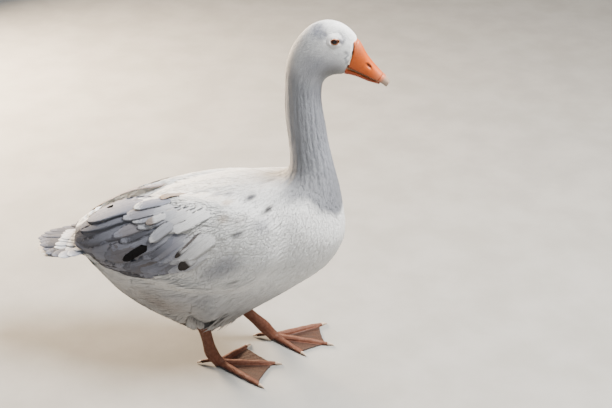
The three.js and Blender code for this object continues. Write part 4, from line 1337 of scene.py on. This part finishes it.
class GOOSE_OT_bill(bpy.types.Operator):
    """The bill: nostrils, the comb ridges along the gape and the nail at the tip"""

    bl_idname = "goose.bill"
    bl_label = "Bill"

    def execute(self, context):
        orange, pink, horn = colour("bill"), colour("bill_pink"), colour("nail")
        bill, cream = bill_finish("bill skin", "bill"), np.array((0.50, 0.36, 0.22))
        rings, share, angle = bill_rings(UPPER_BILL, 0.12, 2.5, UPPER_ROWS, UPPER_AROUND)
        normals = ring_normals(rings)
        forward, height = -rings[..., 1], rings[..., 2]
        out = np.zeros(rings.shape[:2])
        # A nostril is a slot that slants with the bill, in a shallow dip, with a raised upper rim.
        run, rise = forward - NOSTRIL[0], height - NOSTRIL[1]
        lengthwise, crosswise = 0.70 * run - 0.71 * rise, 0.71 * run + 0.70 * rise
        round_it = np.sqrt((lengthwise / 5.2) ** 2 + (crosswise / 1.9) ** 2)
        sideways = np.abs(np.cos(angle))[None] > 0.35
        out -= np.where(sideways, 2.6 * np.exp(-round_it**4), 0)
        out += np.where(sideways, 0.55 * np.exp(-(((round_it - 1.45) / 0.34) ** 2)) * (crosswise > -0.6), 0)
        out -= np.where(sideways, 0.5 * np.exp(-((lengthwise / 11) ** 2 + (crosswise / 5) ** 2)), 0)
        # The ridge is flattened between two faint keels, and the base has soft creases.
        top = np.sin(angle)[None]
        out -= 0.5 * np.exp(-(((top - 1) / 0.10) ** 2)) * step(0.05, 0.3, share)[:, None]
        out += 0.16 * np.sin(share * 95)[:, None] * step(0.30, 0.0, share)[:, None] * step(-0.6, 0.2, top)
        # The rim along the gape is rolled, and a groove sets off the nail.
        out += 0.25 * np.exp(-(((top + 0.62) / 0.16) ** 2))
        out -= 0.55 * np.exp(-(((share - NAIL_START) / 0.012) ** 2))[:, None]
        rings = rings + normals * out[..., None]
        rings[:LOBE_ROWS] = self.lobe(rings[LOBE_ROWS], angle)
        cut = int(NAIL_START * UPPER_ROWS) + 1
        every = np.ones(out.shape)
        # Painted shade on the lower band of the upper bill.
        below = step(-0.3, -0.9, top) * every
        tint = blend(np.tile(orange, (*out.shape, 1)), orange * (0.85, 0.70, 0.6), below)
        tint = blend(tint, pink, 0.85 * step(0.30, 0.02, share)[:, None] * step(0.35, 0.9, top))
        tint = blend(tint, pink, 0.75 * step(0.50, 0.74, share)[:, None] * every)
        # Painted shade in the nostril.
        tint = blend(tint, tint * 0.35, np.where(sideways, np.exp(-round_it**3), 0) * 0.9)
        gape = 0.6 * np.exp(-(((top + 0.80) / 0.10) ** 2))
        tint = blend(tint, cream, gape * step(0.9, 0.6, share)[:, None])
        self.closed("bill_upper", rings[:cut], tint[:cut], bill, "bill")
        swell = 0.25 * np.sin(np.pi * np.linspace(0, 1, UPPER_ROWS - cut)) ** 0.5
        nail_rings = rings[cut:] + normals[cut:] * swell[:, None, None]
        nail_tint = blend(np.tile(horn, (*out.shape, 1)), pink, step(0.86, 0.74, share)[:, None] * every)
        self.closed("bill_nail", nail_rings, nail_tint[cut:], bill_finish("nail horn", "nail"), "bill_nail")
        low, low_share, low_angle = bill_rings(LOWER_BILL, 0.68, 2.2, LOWER_ROWS, LOWER_AROUND)
        every = np.ones(low.shape[:2])
        low_top = np.sin(low_angle)[None] * every
        low += ring_normals(low) * (0.3 * np.exp(-(((low_top - 0.45) / 0.15) ** 2)))[..., None]
        # Painted shade on the underside of the lower bill; its top is plain orange.
        low_tint = np.tile(orange * (0.72, 0.55, 0.45), (*every.shape, 1))
        low_tint = blend(low_tint, orange, step(-0.2, 0.5, low_top))
        low_tint = blend(low_tint, cream, 0.7 * np.exp(-(((low_top - 0.78) / 0.14) ** 2)))
        low_tint = blend(low_tint, pink, 0.6 * step(0.6, 1.0, low_share)[:, None] * every)
        self.closed("bill_lower", low, low_tint, bill, "bill")
        self.comb(cream)
        return {"FINISHED"}

    def lobe(self, ring, angle):
        """Rings that take the upper corners of the bill back over the face, just over its feathers."""
        corner = np.exp(-(((np.sin(angle) - 0.84) / 0.16) ** 2))
        reach = 0.3 + LOBE_REACH * corner
        tree, _ = MADE["outer"]
        rings = []
        for share in np.linspace(1, 1 / LOBE_ROWS, LOBE_ROWS):
            back = ring + np.array((0, 1.0, 0)) * (reach * share)[:, None]
            back[:, 2] += LOBE_RISE * corner * share
            found = [tree.find_nearest(p) for p in back.tolist()]
            over = np.array([np.array(f[0]) for f in found])
            up = np.array([np.array(f[1]) for f in found])
            over += up * (0.32 - 1.2 * step(0.8, 1.0, share))
            rings.append(np.where((reach > 1.2)[:, None], over, back))
        return np.array(rings)

    def closed(self, name, rings, tint, material, slot):
        """A closed piece that stands for the node of its own name."""
        points, corners, counts = tube(rings)
        mesh = new_mesh(name, points, corners, counts)
        outward(mesh)
        ends = [tint[:1].mean(axis=1), tint[-1:].mean(axis=1)]
        paint(mesh, "tint", np.concatenate([tint.reshape(-1, 3), *ends]))
        new_piece(name, mesh, material, (name,))

    def comb(self, cream):
        """Small ridges that stand in the gape along both sides, longest in the middle."""
        count = sizes().bill_ridges
        points, corners, counts, base = [], [], [], 0
        path = smooth_rows(GAPE, count)
        way = unit(np.gradient(path, axis=0))
        for side in (-1, 1):
            for k in range(count):
                size = 0.6 + 0.5 * math.sin(math.pi * k / (count - 1))
                middle = np.array((side * path[k, 2], -path[k, 0], path[k, 1]))
                ahead = np.array((side * way[k, 2], -way[k, 0], way[k, 1]))
                down = unit(np.cross(ahead, (side, 0, 0))) * (-1 if side > 0 else 1)
                out = np.array((side, 0, 0.0))
                rings = []
                for h, w in ((-1.1, 0.30), (0.1, 0.58), (1.2, 0.20)):
                    face = 0.35 - 0.4 * abs(h)
                    rings.append([middle + ahead * x * w + out * y + down * h * size
                                  for x, y in ((-1, -1.1), (1, -1.1), (1, face), (-1, face))])
                p, c, n = tube(rings)
                points.append(p)
                corners += [i + base for i in c]
                counts += n
                base += len(p)
        mesh = new_mesh("bill_comb", np.concatenate(points), corners, counts)
        outward(mesh)
        paint(mesh, "tint", np.tile(cream, (base, 1)))
        new_piece("bill_comb", mesh, bill_finish("comb horn", "comb"))


# ---- eyes ----
LID_HALF_WIDTH, LID_HALF_HEIGHT = 50.0, 31.0  # of the opening, in degrees of the eyeball
# The lid from its inner rim outwards: degrees beyond the opening, and height over the eyeball.
LID_PROFILE = ((-3.0, -0.3), (-2.0, 0.20), (0.0, 0.40), (3.0, 0.40), (6.5, 0.10), (12.0, -0.10))
# The skin round the lid: its radius from the middle of the eye, and how far it lies under the face.
SOCKET = ((8.2, -0.4), (9.8, 0.35), (11.6, 0.9), (13.6, 1.4), (15.5, 2.4), (9.0, 3.5))


EYE_ROWS, EYE_AROUND, LID_AROUND = 44, 56, 72
EYE_BACK = 2.6  # how far from its gaze an eyeball is made, in radians


def eye_axes(side):
    gaze = unit(np.array((side, -0.20, 0.20)))
    up = unit(np.array((0, 0, 1.0)) - gaze * gaze[2])
    return gaze, up, np.cross(up, gaze) * side


def on_eye(side, away, turn, radius):
    """Points round an eye: away from its gaze and turned round it, in radians."""
    gaze, up, ahead = eye_axes(side)
    away, turn, radius = (np.asarray(v)[..., None] for v in np.broadcast_arrays(away, turn, radius))
    out = gaze * np.cos(away) + (ahead * np.cos(turn) + up * np.sin(turn)) * np.sin(away)
    return eye_centre(side) + out * radius


class GOOSE_OT_eyes(bpy.types.Operator):
    """Dark eyes under clear corneas, each with a bare rim of eyelid"""

    bl_idname = "goose.eyes"
    bl_label = "Eyes"

    def execute(self, context):
        radius = sizes().eye_radius / MM
        ball = Finish("eye", 0.05, Specular_IOR_Level=0.4, Coat_Weight=0.25, Coat_Roughness=0.02)
        fleck = ball.noise(1500, 3)
        flecks = ball.ramp(fleck, 0.35, 0.7, 0.0, 0.7)
        iris = ball.mix(flecks, ball.painted("tint"), (1.9, 1.5, 1.2), "MULTIPLY")
        ball.finish(iris, ball.ramp(fleck, 0.2, 0.8, 0.03, 0.07))
        lid = Finish("eyelid", 0.5, Specular_IOR_Level=0.4)
        crease = lid.noise(1300, 3)
        folds = lid.ramp(crease, 0.4, 0.7, 0.0, 0.4)
        rim = lid.mix(folds, lid.painted("tint"), (0.7, 0.5, 0.45), "MULTIPLY")
        lid.finish(rim, lid.ramp(crease, 0.2, 0.8, 0.42, 0.6), lid.bump(crease, 0.0002, 0.6))
        for label, side in (("right", -1), ("left", 1)):
            away = np.linspace(0.02, EYE_BACK, EYE_ROWS)[:, None]
            turn = np.linspace(0, 2 * math.pi, EYE_AROUND, endpoint=False)[None]
            cornea = 0.35 * np.exp(-((away / 0.62) ** 4))
            rings = on_eye(side, away, turn, radius + cornea)
            points, corners, counts = tube(rings)
            mesh = new_mesh(f"eye_{label}", points, corners, counts)
            outward(mesh)
            # A black pupil, a dark iris and a darker rim.
            from_gaze = np.append(np.repeat(away[:, 0], EYE_AROUND), (0, EYE_BACK))
            shade = blend(np.zeros(3) + 0.002, colour("eye") * 1.6, step(0.27, 0.31, from_gaze))
            shade = blend(shade, colour("eye") * 0.4, step(0.58, 0.70, from_gaze))
            paint(mesh, "tint", shade)
            new_piece(f"eye_{label}", mesh, ball.material, (f"eye_{label}",))
            self.lid(label, side, radius, lid.material)
        return {"FINISHED"}

    def lid(self, label, side, radius, material):
        around, across = LID_AROUND, len(LID_PROFILE) + len(SOCKET)
        turn = np.linspace(0, 2 * math.pi, around, endpoint=False)
        half_height = LID_HALF_HEIGHT * np.where(np.sin(turn) > 0, 0.94, 1.02)
        opening = 1 / np.sqrt((np.cos(turn) / LID_HALF_WIDTH) ** 2 + (np.sin(turn) / half_height) ** 2)
        opening *= 1 + 0.07 * np.cos(turn) ** 10
        loops = []
        for beyond, above in LID_PROFILE:
            folds = 0.10 * np.sin(turn * 17 + beyond) if beyond > 0 else 0
            loops.append(on_eye(side, np.radians(opening + beyond), turn, radius + above + folds))
        gaze, up, ahead = eye_axes(side)
        for reach, depth in SOCKET:
            rim = ahead * np.cos(turn)[:, None] + up * np.sin(turn)[:, None]
            beside = eye_centre(side) + gaze * 7 + rim * reach
            found = [MADE["outer"][0].find_nearest(p) for p in beside.tolist()]
            face = unit(np.mean([np.array(f[1]) for f in found], axis=0))
            loops.append(np.array([np.array(f[0]) for f in found]) - face * depth)
        points = np.stack(loops, axis=1).reshape(-1, 3)
        corners = []
        for i in range(around):
            for k in range(across):
                j, m = (i + 1) % around, (k + 1) % across
                corners += [i * across + k, j * across + k, j * across + m, i * across + m]
        mesh = new_mesh(f"eyelid_{label}", points, corners, np.full(len(corners) // 4, 4))
        outward(mesh)
        beyond = np.array([beyond for beyond, _ in LID_PROFILE] + [99.0] * len(SOCKET))
        outer, inner = np.tile(step(4.5, 7.5, beyond), around), np.tile(step(0.5, -3, beyond), around)
        # Beyond the lid the skin takes the plumage colour, a little darker: painted shade over the bulge of
        # the lid.
        shade = blend(np.tile(colour("lid"), (len(points), 1)), markings_and_shade(points) * 0.88, outer)
        # Painted shade on the inner edge of the lid, where it meets the eyeball.
        paint(mesh, "tint", blend(shade, colour("lid") * 0.35, inner))
        new_piece(f"eyelid_{label}", mesh, material)


# ---- legs ----
TOES = ("inner", "middle", "outer")
# Each leg: the root of its toes on the floor plan, ankle and hock with their heights, and how far each toe
# turns inwards, in degrees.
LEGS = {
    "right": {"side": -1, "hub": (-34, 156), "ankle": (-39, 168, 28), "hock": (-48, 182, 106),
              "turns": {"inner": 57, "middle": 8, "outer": -33}},
    "left": {"side": 1, "hub": (63, 70), "ankle": (61, 89, 28), "hock": (56, 146, 86),
             "turns": {"inner": 36, "middle": 4, "outer": -34}},
}


def toe_way(leg, name):
    angle = -math.radians(leg["turns"][name]) * leg["side"]
    return np.array((math.sin(angle), -math.cos(angle)))


def leg_finish():
    f = Finish("leg skin", 0.55, Specular_IOR_Level=0.35)
    stain = f.noise(150, 5, 0.62)
    scales = f.node("TexVoronoi", {"feature": "DISTANCE_TO_EDGE"}, Vector=f.place(), Scale=430.0)
    seam = f.ramp(scales.outputs["Distance"], 0.0, 0.12)
    base = f.mix(f.ramp(stain, 0.32, 0.72, 0.0, 0.6), f.painted("tint"), (0.50, 0.42, 0.40), "MULTIPLY")
    base = f.mix(f.ramp(seam, 0.0, 1.0, 0.30, 0.0, "LINEAR"), base, (0.35, 0.25, 0.22), "MULTIPLY")
    fine = f.noise(1400, 3)
    height = f.sum("ADD", f.sum("MULTIPLY", seam, f.painted("scaly")), f.sum("MULTIPLY", fine, 0.35))
    return f.finish(base, f.ramp(stain, 0.3, 0.7, 0.46, 0.68), f.bump(height, 0.0004, 0.8))


class GOOSE_OT_legs(bpy.types.Operator):
    """The bare legs and feet: scaly shanks, jointed toes with cross plates, and folded webs"""

    bl_idname = "goose.legs"
    bl_label = "Legs and feet"

    def execute(self, context):
        finish = leg_finish()
        for label, leg in LEGS.items():
            nodes = tuple(f"{part}_{label}" for part in ("shank", "foot", "hind_toe"))
            mesh = solid_copy(f"leg_{label}", nodes, 1.05 * MM, 3)
            self.detail(mesh, leg)
            new_piece(f"leg_{label}", mesh, finish, nodes)
        return {"FINISHED"}

    def detail(self, mesh, leg):
        points, _ = read_mesh(mesh)
        normals = unit(read_normals(mesh))
        hub = np.array(leg["hub"], dtype=float)
        plan = points[:, :2] - hub
        height = points[:, 2]
        out = np.zeros(len(points))
        tint = np.tile(colour("leg"), (len(points), 1))
        on_foot = step(34, 20, height)
        upper = step(0.0, 0.5, normals[:, 2])
        to_toe, ridge = np.full(len(points), 99.0), np.zeros(len(points))
        for name in TOES:
            way = toe_way(leg, name)
            run = plan @ way
            aside = np.abs(plan @ np.array((-way[1], way[0])))
            beyond = np.where(run < 0, np.hypot(run, aside), aside)
            on_toe = step(6.5, 4.2, beyond) * step(-4, 8, run) * on_foot
            # Cross plates along the top of each toe, a little wider towards the root.
            plates = np.abs(np.sin(np.pi * run / (3.6 - 0.008 * run)))
            out += 0.42 * on_toe * upper * (plates**0.5 - 0.8)
            ridge = np.maximum(ridge, on_toe * upper * step(5.0, 1.0, beyond))
            to_toe = np.minimum(to_toe, beyond)
        reach = np.linalg.norm(plan, axis=1)
        web = step(5.5, 8.0, to_toe) * step(10, 6, height) * step(6, 22, reach)
        angle = np.arctan2(plan[:, 0], -plan[:, 1])
        wander = ripple(points, (26, 50), 9)
        folds = np.sin(angle * 38 + 2.5 * wander) * 0.5 + np.sin(angle * 71 - 2 * wander) * 0.3
        out += 0.32 * web * folds + 0.10 * web * np.sin(reach * 1.3 + 3 * wander)
        # The webs have their own uneven tone, with painted shade in the folds and painted light on their
        # ridges.
        web_shade = colour("web") * (1 + 0.16 * folds + 0.10 * wander)[:, None]
        tint = blend(tint, np.clip(web_shade, 0, 1), web)
        # Painted highlight along the tops of the toes.
        tint = blend(tint, colour("leg") * (1.0, 1.25, 1.5), 0.75 * ridge)
        # The shank: flattened plates in front, a groove down each side.
        hock, ankle = np.array(leg["hock"]), np.array(leg["ankle"])
        shaft = step(26, 40, height)
        axis = unit((hock - ankle).astype(float))
        from_ankle = points - ankle
        off = from_ankle - (from_ankle @ axis)[:, None] * axis
        facing = -unit(off)[:, 1]
        plates = np.abs(np.sin(np.pi * (from_ankle @ axis) / 4.4))
        out += 0.40 * shaft * step(0.45, 0.8, facing) * (plates**0.5 - 0.8)
        out -= 0.45 * shaft * np.exp(-((facing / 0.22) ** 2))
        # Painted shade on the back of the shank and painted light on its front.
        tint = blend(tint, colour("leg") * 0.62, 0.5 * step(0.1, -0.8, facing) * step(10, 40, height))
        tint = blend(tint, colour("leg") * (1.25, 1.3, 1.35), 0.5 * shaft * step(0.2, 0.9, facing))
        # Painted shade where the foot meets the floor.
        tint = blend(tint, colour("leg") * 0.45, 0.7 * step(2.2, 0.4, height))
        move_points(mesh, points + normals * out[:, None] * step(0.2, 2.0, height)[:, None])
        paint(mesh, "tint", np.clip(tint, 0, 1))
        paint(mesh, "scaly", np.clip(1 - 0.75 * web - 0.5 * ridge, 0.1, 1))


class GOOSE_OT_claws(bpy.types.Operator):
    """Pale horn claws on every toe"""

    bl_idname = "goose.claws"
    bl_label = "Claws"

    def execute(self, context):
        f = Finish("claw horn", 0.38, Specular_IOR_Level=0.45)
        streak = f.noise(420, 4, 0.6)
        base = f.mix(f.ramp(streak, 0.35, 0.7, 0.0, 0.7), f.painted("tint"), (0.50, 0.42, 0.38), "MULTIPLY")
        f.finish(base, f.ramp(streak, 0.2, 0.8, 0.32, 0.5), f.bump(streak, 0.0003, 0.6))
        for label in LEGS:
            nodes = tuple(f"claw_{label}_{toe}" for toe in (*TOES, "hind"))
            mesh = solid_copy(f"claws_{label}", nodes, 0.45 * MM, 4)
            points, _ = read_mesh(mesh)
            # Painted shade where the claws meet the floor.
            low = step(1.6, 0.3, points[:, 2])
            horn = np.tile(colour("claw"), (len(points), 1))
            paint(mesh, "tint", blend(horn, horn * 0.5, 0.6 * low))
            new_piece(f"claws_{label}", mesh, f.material, nodes)
        return {"FINISHED"}


# ---- floor, lights and camera ----
CAMERA_FROM, CAMERA_AT = (-1801.2, -253.1, 1294.6), (0.0, 0.0, 327.5)
CAMERA_LENS, SENSOR_WIDTH = 70.59, 36.0
NEAREST, FURTHEST = 0.05, 50  # that the camera sees, in metres
FLOOR_REACH = 9  # metres each way
SKY, SKY_STRENGTH = (0.80, 0.87, 1.0, 1), 0.15
# Each light: where it stands and what it points at, its size in metres, power in watts and colour.
LIGHTS = (
    ("key", (-50, -1000, 2200), (0, 0, 250), 1.2, 235.0, (1.0, 0.985, 0.955)),
    ("rim", (1300, 1600, 750), (0, 60, 330), 0.7, 240.0, (1.0, 0.78, 0.55)),
    ("fill", (-1900, -300, 900), (0, 0, 250), 1.8, 5.0, (0.80, 0.92, 1.0)),
)


def aim(thing, start, target):
    start, target = Vector(to_frame(start)), Vector(to_frame(target))
    thing.location = start
    thing.rotation_euler = (target - start).to_track_quat("-Z", "Y").to_euler()
    bpy.context.scene.collection.objects.link(thing)


class GOOSE_OT_stage(bpy.types.Operator):
    """A pale floor, soft lights and the camera"""

    bl_idname = "goose.stage"
    bl_label = "Stage"

    def execute(self, context):
        mesh = bpy.data.meshes.new("floor")
        ends = ((-1, -1), (1, -1), (1, 1), (-1, 1))
        mesh.from_pydata([(x * FLOOR_REACH, y * FLOOR_REACH, 0) for x, y in ends], [], [(0, 1, 2, 3)])
        floor = bpy.data.objects.new("floor", mesh)
        context.scene.collection.objects.link(floor)
        f = Finish("floor", 0.85, Specular_IOR_Level=0.2)
        grain = f.noise(9, 5)
        pale = f.mix(f.ramp(grain, 0.3, 0.7), (0.27, 0.265, 0.25), (0.31, 0.305, 0.29))
        mesh.materials.append(f.finish(pale))
        for name, start, target, size, power, tone in LIGHTS:
            light = bpy.data.lights.new(name, "AREA")
            light.shape, light.size, light.energy, light.color = "DISK", size, power, tone
            aim(bpy.data.objects.new(name, light), start, target)
        world = bpy.data.worlds.new("studio")
        world.use_nodes = True
        world.node_tree.nodes["Background"].inputs["Color"].default_value = SKY
        world.node_tree.nodes["Background"].inputs["Strength"].default_value = SKY_STRENGTH
        context.scene.world = world
        camera = bpy.data.cameras.new("camera")
        camera.lens, camera.sensor_width = CAMERA_LENS, SENSOR_WIDTH
        camera.clip_start, camera.clip_end = NEAREST, FURTHEST
        seen = bpy.data.objects.new("camera", camera)
        aim(seen, CAMERA_FROM, CAMERA_AT)
        context.scene.camera = seen
        return {"FINISHED"}


# ---- panel ----
STEPS = (GOOSE_OT_stage, GOOSE_OT_skin, GOOSE_OT_coat, GOOSE_OT_wings, GOOSE_OT_tail, GOOSE_OT_bill,
         GOOSE_OT_eyes, GOOSE_OT_legs, GOOSE_OT_claws)


class GOOSE_PT_parts(bpy.types.Panel):
    """Sizes, colours and the pieces of the goose"""

    bl_label = "Domestic goose"
    bl_idname = "GOOSE_PT_parts"
    bl_space_type = "VIEW_3D"
    bl_region_type = "UI"
    bl_category = "Goose"

    def draw(self, context):
        for group in (context.scene.goose_sizes, context.scene.goose_colours):
            for name in group.bl_rna.properties.keys():
                if name not in ("rna_type", "name"):
                    self.layout.prop(group, name)
        for made in STEPS:
            self.layout.operator(made.bl_idname)


CLASSES = (GooseSizes, GooseColours, *STEPS, GOOSE_PT_parts)


def register():
    for made in CLASSES:
        bpy.utils.register_class(made)
    bpy.types.Scene.goose_sizes = PointerProperty(type=GooseSizes)
    bpy.types.Scene.goose_colours = PointerProperty(type=GooseColours)


def unregister():
    del bpy.types.Scene.goose_colours
    del bpy.types.Scene.goose_sizes
    for made in reversed(CLASSES):
        bpy.utils.unregister_class(made)


def main():
    register()
    for made in STEPS:
        group, name = made.bl_idname.split(".")
        if getattr(getattr(bpy.ops, group), name)() != {"FINISHED"}:
            raise RuntimeError(f"{made.bl_label} could not be made")


if __name__ == "__main__":
    main()
